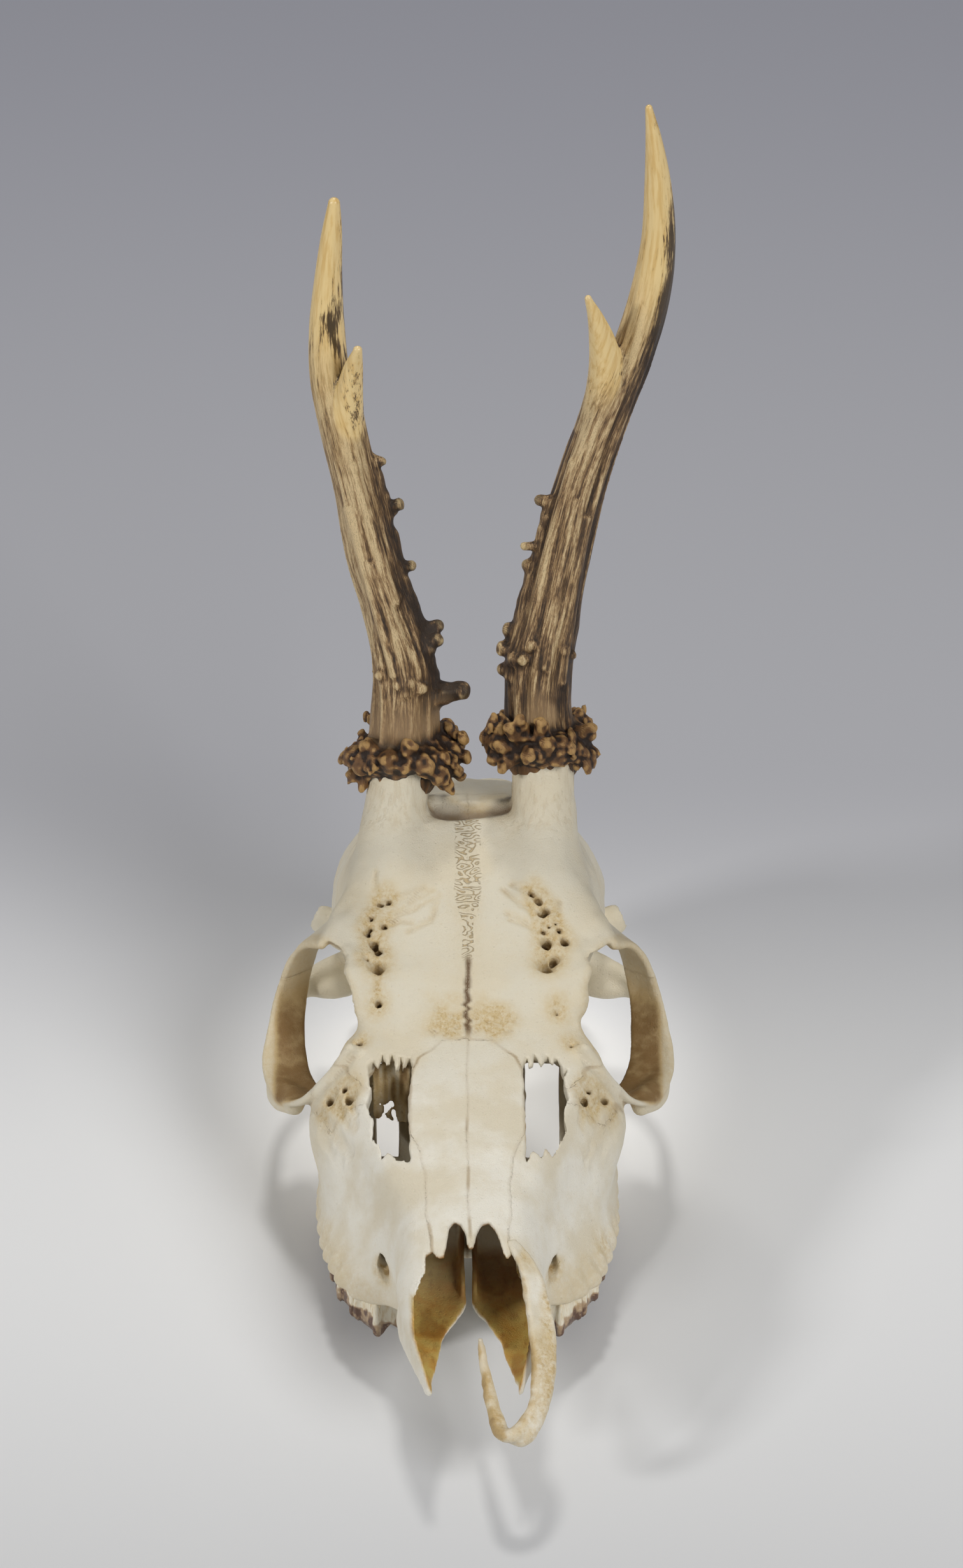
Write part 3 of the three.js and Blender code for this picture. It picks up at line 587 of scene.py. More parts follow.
def tooth_material():
    s = Shader("cheek_teeth")
    place = s.vector("place")
    streak = s.noise(s.scaled(place, (1.2, 1.2, 0.25)), 1.6, 5, 0.6)
    colour = s.mix(s.ramp(streak, 0.42, 0.75), (0.82, 0.765, 0.62), (0.66, 0.53, 0.32))
    patches = s.ramp(s.noise(place, 1.4, 4), 0.25, 0.55, 0.6, 1.0)
    dark = s.math("MULTIPLY", s.value("crevice_shade_and_dirt"), patches, True)
    colour = s.mix(s.ramp(dark, 0.1, 0.5, 0.0, 0.8), colour, (0.37, 0.22, 0.10))
    colour = s.mix(s.ramp(dark, 0.5, 0.95, 0.0, 0.9), colour, (0.085, 0.032, 0.020))
    colour = s.mix(s.value("stain"), colour, (0.66, 0.52, 0.28))
    normal = s.bumped(streak, 0.00012, 0.5)
    return s.finish(Base_Color=colour, Roughness=0.28, Normal=normal, IOR=1.55)


def antler_material():
    s = Shader("antler")
    grain = s.vector("place")
    patches = s.noise(s.scaled(grain, (0.5, 0.5, 0.07)), 0.9, 4, 0.6)
    cords = s.noise(s.scaled(grain, (1.0, 1.0, 0.07)), 1.1, 4, 0.6)
    streaks = s.noise(s.scaled(grain, (1.0, 1.0, 0.08)), 3.4, 5, 0.65)
    flecks = s.noise(s.scaled(grain, (1.0, 1.0, 0.35)), 6.0, 4, 0.7)
    relief, polish = s.value("relief"), s.value("polish")
    tone = s.value("dark")
    for share, amount in ((patches, 1.4), (cords, 2.0), (streaks, 2.4)):
        tone = s.math("ADD", tone, s.math("MULTIPLY", s.math("SUBTRACT", share, 0.5), amount))
    tone = s.math("SUBTRACT", tone, s.math("MULTIPLY", relief, 0.45))
    colour = s.mix(s.ramp(tone, -0.15, 0.5), (0.76, 0.585, 0.33), (0.38, 0.235, 0.105))
    colour = s.mix(s.ramp(tone, 0.35, 0.8), colour, (0.12, 0.066, 0.028))
    colour = s.mix(s.ramp(tone, 0.75, 1.25), colour, (0.03, 0.017, 0.009))
    pits = s.math("MULTIPLY", s.ramp(flecks, 0.5, 0.68), s.ramp(polish, 0.1, 0.9, 0.55, 0.03))
    colour = s.mix(pits, colour, (0.09, 0.05, 0.024))
    colour = s.mix(s.value("dust"), colour, (0.44, 0.29, 0.15))
    ivory = s.mix(s.ramp(cords, 0.4, 0.66), (0.84, 0.64, 0.31), (0.72, 0.49, 0.19))
    gloss = s.math("MULTIPLY", polish, s.ramp(tone, 0.5, 0.95, 1.0, 0.06))
    colour = s.mix(gloss, colour, ivory)
    # the burr: dark in its creases, warm brown on its lumps, tan on their crests
    lump = s.math("ADD", relief, s.math("MULTIPLY", s.math("SUBTRACT", patches, 0.5), 1.2))
    knobs = s.mix(s.ramp(lump, -0.35, 0.5), (0.025, 0.012, 0.006), (0.18, 0.085, 0.028))
    knobs = s.mix(s.ramp(lump, 0.5, 1.3, 0.0, 0.85), knobs, (0.66, 0.41, 0.15))
    colour = s.mix(s.value("burr"), colour, knobs)
    colour = s.mix(s.value("pale"), colour, (0.80, 0.62, 0.33))
    rough = s.ramp(polish, 0.0, 1.0, 0.42, 0.26)
    normal = s.bumped(streaks, 0.0006, s.ramp(polish, 0.0, 1.0, 0.7, 0.08))
    normal = s.bumped(flecks, 0.0003, s.ramp(polish, 0.0, 1.0, 0.5, 0.05), normal)
    return s.finish(Base_Color=colour, Roughness=rough, Normal=normal, IOR=1.5)


# ---- bone ----
# Half sections of the muzzle: roof, edge of the nasal, shoulder, cheek, wall of the roots, sockets, palate.
MUZZLE = [
    (12, (0, 20), (4, 19.5), (7.5, 18), (9.6, 15.5), (9.8, 14.2), (9.6, 12.8), (0, 12.4)),
    (26, (0, 28), (6.5, 27), (10, 25), (13.3, 20), (13.4, 16.6), (13.2, 13), (0, 13)),
    (38, (0, 34.2), (8, 33), (12, 30), (15.2, 23), (15, 17.6), (15.2, 13.4), (0, 13.6)),
    (46, (0, 36.6), (8.7, 35.7), (12.8, 32.8), (15.8, 24.4), (15.4, 18), (15.2, 12.4), (0, 13.9)),
    (50, (0, 37.8), (9, 37), (13.2, 34), (16.6, 25), (17.2, 18.4), (17.8, 11.4), (0, 14)),
    (54, (0, 39), (9.8, 38.1), (14.3, 35), (17.4, 25.2), (19.6, 18.4), (23, 9.6), (0, 14)),
    (60, (0, 40.8), (10.8, 39.8), (16.2, 36.6), (19.6, 26), (23, 18.4), (27.4, 9.6), (0, 14)),
    (70, (0, 43.8), (11.8, 43), (20, 39), (24.6, 26.5), (27.6, 18.4), (30.8, 9.9), (0, 14.2)),
    (80, (0, 46.8), (12.2, 46), (22.5, 42), (30, 28.5), (30.8, 18.8), (32.4, 10.4), (0, 14.5)),
    (92, (0, 50.2), (12, 49.5), (24.5, 47), (34.5, 31), (32.6, 19.6), (32.2, 10.8), (0, 15)),
    (103, (0, 53.4), (12, 53), (25, 49), (34, 30), (33, 20), (31, 11.6), (0, 16)),
    (114, (0, 52), (10, 51), (20, 44), (29, 30), (28.6, 22), (27, 15), (0, 17)),
]
# The nasal cavity: roof, edge of the nasal, shoulder, cheek, floor edge, floor.
CAVITY = [
    (4, (0, 26), (4, 25), (6, 22), (7.6, 18), (7, 14.5), (0, 10)),
    (14, (0, 28), (5, 27), (7.5, 24), (8.6, 18), (8, 14.8), (0, 12)),
    (26, (0, 32), (6, 29), (9.5, 25), (11.4, 20), (10.6, 15.4), (0, 14.6)),
    (38, (0, 32), (7, 31), (11, 28), (13.2, 22.5), (12.4, 16.4), (0, 15.8)),
    (50, (0, 35.4), (8.5, 34.6), (11.8, 31.5), (14, 25), (13, 18), (0, 17)),
    (60, (0, 38.4), (10, 37.4), (14.4, 34.2), (16.6, 27), (14, 19.4), (0, 17.4)),
    (70, (0, 41.4), (11, 40.4), (18, 36.8), (20.8, 29), (15.5, 20.4), (0, 17.8)),
    (80, (0, 44.2), (11.5, 43.4), (20.5, 39), (25, 31), (17, 21), (0, 18)),
    (92, (0, 47.4), (11.5, 46.6), (21.5, 43), (25, 33), (18, 21.6), (0, 18.4)),
    (104, (0, 49.6), (11, 48.4), (16.5, 45), (17, 37), (15, 25), (0, 19.4)),
    (112, (0, 48), (8, 46), (11, 42), (11, 34), (9, 26), (0, 21)),
]
# Half sections of the cranium: top, crown, shoulder over the orbit or temple, wall, base edge, base.
CRANIUM = [
    (97, (0, 48), (12, 47.6), (20, 44), (16, 38), (12, 32), (0, 30)),
    (106, (0, 56.9), (14, 57.8), (26.8, 56), (20, 45), (14, 32), (0, 27)),
    (117, (0, 62.8), (15, 62.6), (32.4, 60.6), (22, 46), (13.5, 31), (0, 26)),
    (126, (0, 67.8), (16, 68), (31, 64.6), (25, 50), (15, 31), (0, 25.6)),
    (135, (0, 72.8), (16, 73.4), (27, 69), (28, 52), (18, 31), (0, 25.2)),
    (146, (0, 79), (14, 78.6), (25.4, 71), (31, 54), (21, 31), (0, 25)),
    (156, (0, 80.4), (13, 79), (24, 71.5), (31.4, 54), (22, 31), (0, 25)),
    (168, (0, 78.2), (12, 76.8), (22.5, 69), (31, 52), (22, 31), (0, 25)),
    (178, (0, 74.4), (11, 73), (20, 65), (28, 48), (21, 31), (0, 25)),
    (184, (0, 70.5), (9, 69), (17, 61), (24.5, 46), (18, 32), (0, 26)),
]
# Seen from the side, the front of the muzzle is open above this line.
APERTURE = [(0, 15), (12, 16.2), (22, 21.5), (31, 28), (34.6, 31.2), (34.6, 60), (0, 60)]
# Seen from the side, the corner that is open beside the tips of the nasals.
NOSE_CORNER = [(26, 23.5), (31, 28), (34.4, 31), (36.8, 34), (38.4, 38), (38.4, 46), (26, 46)]
# From above: the forked front edge of the nasals, closed far in front.
NASAL_FRONT = [(-9.3, 37.4), (-7.8, 37.4), (-7.2, 35.9), (-6.2, 35), (-5.3, 35.5), (-4.8, 38.7),
               (-4.1, 42.8), (-3, 44.3), (-2, 43.5), (-1, 41.3), (-0.5, 38.2), (0.2, 36.5), (0.9, 38.2),
               (1.7, 41.3), (2.7, 43.5), (3.9, 44.2), (5.2, 42.5), (6.2, 39.7), (6.9, 36.7), (7.7, 35.3),
               (8.6, 36.9), (9.2, 38), (9.2, 18), (-9.3, 18)]
# From above: the ragged opening between nasal, frontal, lacrimal and maxilla on each side.
VACUITIES = [
    [(-12.2, 84), (-12.0, 88), (-12.8, 92.6), (-13.7, 88), (-14.6, 91.4), (-15.4, 86.6), (-16.2, 92.8),
     (-17.2, 88.6), (-18.4, 92.4), (-19.4, 88.4), (-20.4, 91.2), (-21.8, 90), (-21, 84), (-21.6, 80),
     (-20.2, 76), (-20.4, 72), (-18.8, 69.4), (-18.2, 66), (-16.6, 66), (-15, 63.5), (-12.2, 61.5),
     (-12.6, 74)],
    [(12.2, 84), (11.8, 88), (12.8, 91.6), (13.8, 87.2), (14.8, 92.4), (16, 88.4), (17.2, 92.6),
     (18.2, 88.6), (19.4, 92), (20.6, 88.6), (21.6, 89.6), (20.9, 85), (22, 82.5), (20.4, 79), (21, 75),
     (19.6, 70), (18, 66.5), (16.6, 67.5), (15.6, 64), (14, 65.2), (12.4, 61.4), (12.6, 74)],
]
# Half of the palatine fissure, from above.
FISSURE = [(9.2, 8), (8.6, 17), (6, 32), (2.6, 40), (0.9, 44), (0.7, 64), (-1, 64), (-1, 8)]
# From the side: the way from the face opening past the palate and out below.
FACE_THROUGH_WAY = [(71, 38), (98, 19.4), (118, 8), (150, 2), (150, 13), (120, 31), (90, 48)]
# The rim of the orbit, from the lacrimal round below and behind the eye to the frontal, and its inner edge.
RIM = [(25.5, 93.5, 49.5), (31, 94, 41.5), (36.8, 98, 33.5), (42, 106, 30), (45.3, 117, 32),
       (44.2, 124.5, 38), (42.3, 129, 45), (39.8, 129.5, 52), (36.6, 126.5, 57.5), (32.5, 120, 61)]
INNER = [(19.5, 97, 45), (25, 101, 38), (30.5, 105, 31.5), (34.8, 112, 30), (37.2, 121, 33),
         (37.6, 129, 39), (36.4, 134, 46), (34.4, 135, 53), (31, 134, 59), (27, 131, 63)]
CHEEK_ARCH = [(38.5, 104, 30, 2, 3), (43, 114, 27.6, 1.7, 4), (44, 132, 27.5, 1.4, 3.6),
              (42.6, 143, 30, 1.3, 3.4), (38.5, 152, 33, 1.6, 3), (31, 158, 35, 2.6, 3.2),
              (22, 161, 36, 4, 4)]
NUCHAL = [(-27, 180, 42, 2.4, 1.5), (-22, 183.5, 56, 2.2, 1.5), (-11, 186, 66.6, 2.2, 1.4),
          (0, 186.4, 68, 3, 1.8), (11, 186, 66.6, 2.2, 1.4), (22, 183.5, 56, 2.2, 1.5),
          (27, 180, 42, 2.4, 1.5)]
ORBIT_THICKNESS = (2.2, 1.8, 1.6, 1.6, 2.0, 1.8, 1.8, 2.2)  # along the rim
# Round parts of the left half of the skull, as middle, radii and how softly each blends in: the joint of
# the jaw, the condyle beside the great opening, and the ear capsule.
KNOBS = [((32, 157, 32), (7.5, 6, 3), 2), ((10.6, 182.6, 30), (6.6, 7.6, 9), 2),
         ((15.5, 162, 23.5), (6.4, 10, 6.6), 1.5)]
# Rods of the left half, as (x, y, z, half width, half height).
PROCESS = [(22, 176, 42, 6, 5), (25.4, 179, 28, 4.4, 3.2), (25, 179.4, 17, 3, 2.2),
           (24.5, 178, 9.6, 1.9, 1.6)]
EAR_TUBE = [(22, 164, 38, 5), (30, 167.5, 40, 4), (34, 169, 42, 3.4)]
EAR_HOLE = [(28, 166.6, 39.6, 1.8), (36, 169.6, 42.8, 2.2)]
INFRAORBITAL_HOLE = [(20.6, 45, 17.4, 1.9, 2.8), (18.4, 50.4, 18.6, 1.5, 2.4), (17.6, 56, 19.6, 1.2, 1.8),
                     (17.6, 62, 20, 1, 1.4)]
# The hollow behind the frontals, between the pedicles.
NAPE_HOLLOW = [(-10.5, 151, 82, 2.4), (-5, 150, 80.8, 3.4), (4, 150.4, 81.2, 3), (10.5, 150.4, 82.2, 2.4)]
THROAT = [(0, 104, 26, 8, 5), (0, 116, 21, 7.4, 5.5), (0, 132, 15, 7, 6)]
KEEL = [(0, 112, 30, 5, 4), (0, 130, 27, 5.5, 4), (0, 150, 25.5, 6.5, 4), (0, 178, 26, 9, 4)]
GREAT_OPENING = ((0, 188, 35.5), (8, 18, 7.6))
# Plates of the left half, as two edges and the thickness.
THROAT_WALL = ([(10, 100, 16), (9.4, 116, 13.4), (9, 128, 14.6), (8.4, 138, 19)],
               [(12, 100, 34), (11, 116, 33), (10, 128, 30), (9, 140, 27)], 1.6)
TURBINATE_EDGE = ([(19.4, 70, 34.6), (16.4, 68.4, 36.6), (12.4, 66, 38)],
                  [(18.6, 75, 31), (16, 73, 34), (12.4, 74, 32)], (1.1, 0.7, 1.2))
PALATE_CREST = ([(1.5, 45, 15), (1.6, 60, 17), (1.6, 84, 18)],
                [(1.3, 47, 18), (1.2, 60, 21), (1.2, 84, 23)], 0.9)
PEDICLES = {
    "left": [(16.5, 138, 66, 9.5, 10), (17.2, 147, 76, 7.6, 8.2), (17, 150.4, 84, 7.1, 7.8),
             (17, 152, 93, 7.2, 7.8)],
    "right": [(-16.5, 138, 66, 9.5, 10), (-16.9, 147, 76, 7.4, 8.2), (-16, 150.4, 84, 6.9, 7.8),
              (-15, 151.6, 90, 7, 7.8)],
}
# Holes in the frontals and lacrimals: x, y, radius, depth.
FORAMINA = [(-19.9, 111.4, 1.5, 12), (-20.8, 117.6, 0.8, 3), (-22.4, 113.6, 0.7, 3),
            (-19.6, 115.8, 0.8, 3.5), (-21.4, 121.3, 0.6, 2.5), (-22.4, 120.2, 0.7, 3),
            (-21.6, 123.4, 0.5, 2), (-19.4, 126.7, 0.7, 3), (-17.8, 126.9, 0.6, 2.4),
            (-18.6, 121.6, 0.5, 2), (-19.6, 103.8, 0.6, 3), (-23.8, 96.6, 0.6, 3), (17.4, 112, 1.5, 9),
            (19.3, 113.8, 0.9, 3), (17.4, 117.8, 1.1, 4), (21.6, 118.2, 0.8, 3), (17.6, 125.2, 0.7, 3),
            (16.3, 124.4, 0.6, 2.4), (15.7, 127, 0.6, 2.4), (14.2, 128.3, 0.5, 2), (18.2, 121.8, 0.4, 1.6),
            (19.6, 122.4, 0.4, 1.6), (20.2, 120.9, 0.4, 1.6), (16.8, 120.4, 0.4, 1.5),
            (19.5, 102.5, 0.6, 3), (-30.1, 89.4, 0.9, 3), (-26.7, 87.8, 0.6, 2.4), (-25.5, 85, 0.9, 3),
            (30, 89.6, 0.9, 3), (26.3, 87.4, 0.7, 2.4), (25.2, 84.4, 0.8, 3), (22.6, 95.4, 0.5, 2)]
# Shallow grooves of the vessels, from above.
GROOVES = [
    [(-20.4, 118), (-19, 121.7), (-13.4, 126.2), (-7.7, 129.3)],
    [(-17.6, 123.2), (-12, 125.1), (-6.3, 128.1)], [(-13.3, 120), (-8.4, 122.2), (-6.9, 126.6)],
    [(-17.4, 126.8), (-12, 128.3), (-9.5, 129.6)], [(-21.6, 123.4), (-20.4, 127), (-20.8, 132)],
    [(-19.8, 112), (-20.6, 117), (-22.4, 120.2), (-21.4, 124)],
    [(-18.4, 121.6), (-15, 122.6), (-12.5, 122)], [(-19.8, 106), (-19.6, 110)],
    [(19.4, 118.4), (16.3, 120.3), (12.1, 122.7), (8.6, 123.9)], [(15, 123), (10.7, 126.9), (7.9, 129.3)],
    [(14.2, 120.9), (9.3, 122.7)], [(17.6, 125), (14, 128.4), (9.8, 130.4)],
    [(17.4, 112), (17.6, 118), (17.2, 125)], [(16.2, 124.4), (13.6, 125.6), (11.8, 125.2)],
    [(21.6, 118.2), (20.2, 122), (20.4, 127)], [(-33.5, 91), (-32.5, 89), (-28.1, 80.7), (-25.2, 75)],
    [(-31.8, 86.6), (-28.8, 78.7), (-27, 76)], [(-30, 89), (-27.4, 84), (-24, 77.5)],
    [(-32.4, 84.6), (-29.6, 76.5)], [(-26, 86), (-24.2, 80)], [(33.5, 91), (32, 88), (28, 80), (25.4, 75)],
    [(31.4, 86), (28.6, 78.4), (27.4, 75)], [(29.6, 88.6), (26.6, 82)], [(32.6, 84.2), (30, 77)],
    [(25.8, 86), (24.6, 79)],
]


def suture_shift(y):
    """How far the suture of the two frontals swings off the midline."""
    strength = 0.5 * bump(y, 102, 7) + 0.1 * smooth_step(112, 117, y)
    swing = np.sin(y * 2.6) * 0.7 + np.sin(y * 4.3 + 1) * 0.45 + np.sin(y * 1.1) * 0.3
    return strength * swing + 0.15 * np.sin(y * 0.35)


def shard(tall):
    """Edges and thickness of a broken piece in the face opening, `tall` times as high as the whole one."""
    return ([(18.4, 70.5, 35), (16, 70.5, 35 + 3.4 * tall), (14.2, 71, 35 + 7.4 * tall)],
            [(12.8, 70, 34.4), (13, 70, 35 + 2.4 * tall), (13.6, 71, 35 + 6.8 * tall)], 0.8)


def one_side(block, side, edge_a, edge_b, thickness):
    """A plate of the left half of the skull, or its mirror image on the right."""
    return plate(block, mirrored(edge_a, side), mirrored(edge_b, side), thickness)


def skull_solid(block):
    """The whole of the bone, in one field, and the field of the nasal cavity."""
    cavity = loft(block, CAVITY)
    bone = soft_max(loft(block, MUZZLE), -prism(block, wavy(APERTURE, 0.25, 4, 5), 0, -30, 30), 0.6)
    bone = soft_max(bone, -prism(block, wavy(NASAL_FRONT, 0.12, 5, 2), 2, 29.4, 70), 0.3)
    bone = soft_min(bone, loft(block, CRANIUM, 3.0), 3.0)
    add(bone, rod(block, KEEL, margin=5), 3)
    for side in SIDES.values():
        beside = prism(block, NOSE_CORNER, 0, *sorted((side * 8.6, side * 30)))
        bone = soft_max(bone, -beside, 0.5)
        eyeball = blob(block, *mirrored([EYE], side), (EYE_RADIUS,) * 3)
        cut(bone, roughened(block, eyeball, 1.1, 5, 9 + side), 0.9)
        cut(bone, blob(block, (side * 41, 146, 44), (13, 15, 12)), 3)
    # the way through the face stays under a thin outer shell, in which the ragged openings are cut
    shell = np.where(block.axes[2] > 36, bone + 1.2, -FAR)
    wide = cavity - 0.9
    bone = soft_max(bone, -wide, 0.6)
    for side, outline in zip((-1, 1), VACUITIES):
        window = prism(block, wavy(outline, 0.35, 8 + side, 1.5, 0.4), 2, 34, 70)
        bone = soft_max(bone, -window, 0.3)
        slit = prism(block, wavy([(side * x, y) for x, y in FISSURE], 0.3, 14 + side, 3), 2, 2, 17)
        bone = soft_max(bone, -slit, 0.6)
        near, far = sorted((side * (12.6 if side > 0 else 15.4), side * 20.4))
        bone = soft_max(bone, -np.maximum(prism(block, FACE_THROUGH_WAY, 0, near, far), shell), 0.5)
    cut(bone, rod(block, THROAT, margin=5), 1.5)
    cut(bone, rod(block, NAPE_HOLLOW), 1.2)
    cut(bone, blob(block, *GREAT_OPENING), 1.5)
    for name, side in SIDES.items():
        add(bone, one_side(block, side, RIM, INNER, ORBIT_THICKNESS), 1.6)
        add(bone, rod(block, mirrored(CHEEK_ARCH, side)), 2)
        for middle, radii, soft in KNOBS:
            add(bone, blob(block, *mirrored([middle], side), radii), soft)
        add(bone, rod(block, mirrored(PROCESS, side), across=(0, 1, 0)), 3)
        add(bone, rod(block, mirrored(EAR_TUBE, side)), 3)
        cut(bone, rod(block, mirrored(EAR_HOLE, side)), 0.8)
        add(bone, one_side(block, side, *THROAT_WALL), 1.5)
        add(bone, rod(block, PEDICLES[name], margin=6), 2.6)
        # broken edges of the turbinates in the front of the face opening
        add(bone, one_side(block, side, *TURBINATE_EDGE), 0.6)
        add(bone, one_side(block, side, *shard(1.0 if side < 0 else 0.35)), 0.4)
        # the crest of the palate beside the slit, which carried the septum
        add(bone, one_side(block, side, *PALATE_CREST), 1.2)
        cut(bone, rod(block, mirrored(INFRAORBITAL_HOLE, side)), 0.7)
    add(bone, rod(block, NUCHAL, across=(0, 1, 0)), 3)
    cut(bone, blob(block, *GREAT_OPENING), 1.0)
    for x, y, radius, depth in FORAMINA:
        bore(block, bone, x, y, radius * (1.2 if radius > 0.7 else 1.05), depth)
    return bone, cavity


def top_of(block, field, x, y):
    """Height of the surface seen from above at (x, y)."""
    i = int(round((x - block.low[0]) / block.pitch))
    j = int(round((y - block.low[1]) / block.pitch))
    return float(block.axes[2][np.flatnonzero(field[i, j] < 0).max()])


def bore(block, field, x, y, radius, depth):
    """A small hole for a vessel, with a worn mouth."""
    top = top_of(block, field, x, y)
    side = 1 if x > 0 else -1
    cut(field, rod(block, [(x, y - 0.6, top + 1.2, radius * 1.5), (x, y, top - 0.6, radius),
                           (x - side * 0.4, y + 1.5, top - depth, radius * 0.8)], step=0.4), 0.9)


# What parts the bones of the left half: an outline, the size, seed and length of its waves, the axis along
# which it is pushed, and from where to where. Along z it is seen from above, along x from the side.
PARTINGS = {
    "nasal": ([(-3, 28), (-3, 95), (0, 95), (5.5, 94.4), (10.5, 90), (12.2, 85), (12.2, 69), (10.2, 64),
               (9, 57), (8.8, 48), (8, 40), (8, 28)], (0.35, 21, 2.2), 2, (27, 70)),
    "frontal": ([(82, 44.5), (100, 46), (116, 53), (126, 48), (141, 48), (143, 62), (150, 66), (158, 76),
                 (158, 99), (82, 99)], (0.6, 31, 2.5), 0, (-3, 50)),
    "zygomatic": ([(95, 27.6), (100, 24.6), (110, 21), (149, 20), (149, 47.6), (126, 47.6), (116, 52.6),
                   (100, 45.6), (95, 40)], (0.4, 41, 2.5), 0, (28.6, 50)),
    "lacrimal": ([(12.6, 78), (29.6, 84), (34, 94), (34, 106), (12.6, 106)], (0.5, 51, 2.5), 2, (31, 60)),
    "maxilla": ([(-3, 5), (44, 5), (44, 114), (12.4, 114), (12.4, 96), (-3, 92)],
                (0.2, 61, 3), 2, (-5, 60)),
}


def parting(block, name, side):
    """The space that belongs to one bone."""
    outline, (size, seed, period), axis, (low, high) = PARTINGS[name]
    if axis == 0:
        low, high = sorted((side * low, side * high))
    else:
        outline = mirrored(outline, side)
    return prism(block, wavy(outline, size, seed + side, period), axis, low, high)


def inner_half(block, side):
    """Distance past the midline suture, above 0 beyond it. The suture gapes in front of the eyes."""
    x, y = block.axes[0][:, None, None], block.axes[1][None, :, None]
    gape = 0.28 * stretch(94, 98, 111, 115, y) - 0.03 * smooth_step(116, 119, y)
    return (suture_shift(y) - x) * side + gape


def part_bones(block, bone):
    """Each bone's own field, and the distance to the nearest suture. The rest is the braincase."""
    fields, rest = {}, bone
    taken, seam = block.empty(), block.empty()
    for name in PARTINGS:
        for side_name, side in SIDES.items():
            region = parting(block, name, side)
            if name in ("nasal", "frontal", "maxilla"):
                region = np.maximum(region, inner_half(block, side))
            seam = np.minimum(seam, np.where(taken > 0, np.abs(region), FAR))
            taken = np.minimum(taken, region)
            fields[f"{name}_{side_name}"] = soft_max(rest, region + SEAM / 2, 0.2)
            rest = soft_max(rest, SEAM / 2 - region, 0.2)
    fields["braincase"] = rest
    return fields, seam


def slope_of(block, field, points):
    """The direction in which a field grows at each point."""
    step = block.pitch * np.eye(3)
    slope = np.stack([block.sample(field, points + d) - block.sample(field, points - d) for d in step], 1)
    return slope / np.maximum(np.linalg.norm(slope, axis=1), 1e-9)[:, None]


def near_lines(p, lines, width):
    """1 on any of the lines, seen from above, falling to 0 at `width` from them."""
    nearest = np.full(len(p), width * 2.0)
    for line in lines:
        for (ax, ay), (bx, by) in zip(line, line[1:]):
            dx, dy = bx - ax, by - ay
            t = np.clip(((p[:, 0] - ax) * dx + (p[:, 1] - ay) * dy) / (dx * dx + dy * dy), 0, 1)
            nearest = np.minimum(nearest, np.hypot(p[:, 0] - ax - t * dx, p[:, 1] - ay - t * dy))
    return smooth_step(width, 0.1 * width, nearest)


def from_pedicle(x, y):
    """Distance from the middle of the nearer pedicle, from above."""
    return np.hypot(np.abs(x) - PEDICLE_PLACE[0], y - PEDICLE_PLACE[1])


def bone_relief(p):
    """How far each point of the bone stands out, in mm: the uneven surface that the hand feels."""
    x, y, z = p.T
    aside = np.abs(x)
    height = 0.30 * noise(p, 11, 1) + 0.16 * noise(p, 4.6, 2) + 0.06 * noise(p, 1.9, 3)
    pedicle = smooth_step(70, 82, z) * smooth_step(13, 9, from_pedicle(x, y))
    height += pedicle * 0.15 * layered(p, (2.2, 2.2, 16), 4, 2)
    temple = smooth_step(140, 150, y)
    height += temple * 0.14 * layered(p, 2.4, 5, 2)
    crest = bump(y, 154, 9) * smooth_step(13, 9, aside) * smooth_step(74, 77, z)
    height += crest * (0.8 * noise(p, (4.5, 3, 4), 34) + 0.3 * noise(p, 1.6, 35))
    neck = smooth_step(172, 180, y)
    height += neck * (0.5 * noise(p, (7, 4, 5), 30) + 0.25 * layered(p, (2.2, 2, 3.4), 31, 2))
    porous = bump(aside, 5, 11) * bump(y, 98, 8) * smooth_step(40, 48, z)
    height -= porous * 0.35 * np.maximum(layered(p, 1.2, 6, 2), 0) * 2
    brow = bump(aside, 21, 6) * bump(y, 122, 10) * smooth_step(54, 60, z)
    height += brow * 0.3 * layered(p, (2.0, 3.4, 2.0), 7, 2)
    roots = stretch(8, 10, 12, 17, z) * stretch(50, 56, 100, 112, y)
    height += roots * (0.32 * np.sin(y * 1.36 + 0.8 * noise(p, 6, 19)) + 0.3 * noise(p, 2.6, 20))
    edge = bump(aside, 26, 6) * stretch(92, 98, 124, 132, y) * smooth_step(46, 52, z)
    height += edge * (0.9 * noise(p, (5, 4.4, 5), 8) + 0.3 * noise(p, 2.2, 9))
    upper = smooth_step(26, 32, z) * smooth_step(70, 74, y)
    wander = p[:, :2] + 0.5 * np.stack([noise(p, 2.4, 15), noise(p, 2.4, 16)], 1)
    height -= 0.6 * upper * near_lines(wander, GROOVES, 1.0) * (0.6 + 0.4 * noise(p, 3, 17))
    fan = bump(aside, 28.5, 7) * bump(y, 82, 10) * smooth_step(28, 33, z)
    height += fan * 0.22 * noise(np.stack([x + np.sign(x) * 0.55 * y, 0.25 * y, z], 1), (1.3, 3.0, 6), 18)
    return height


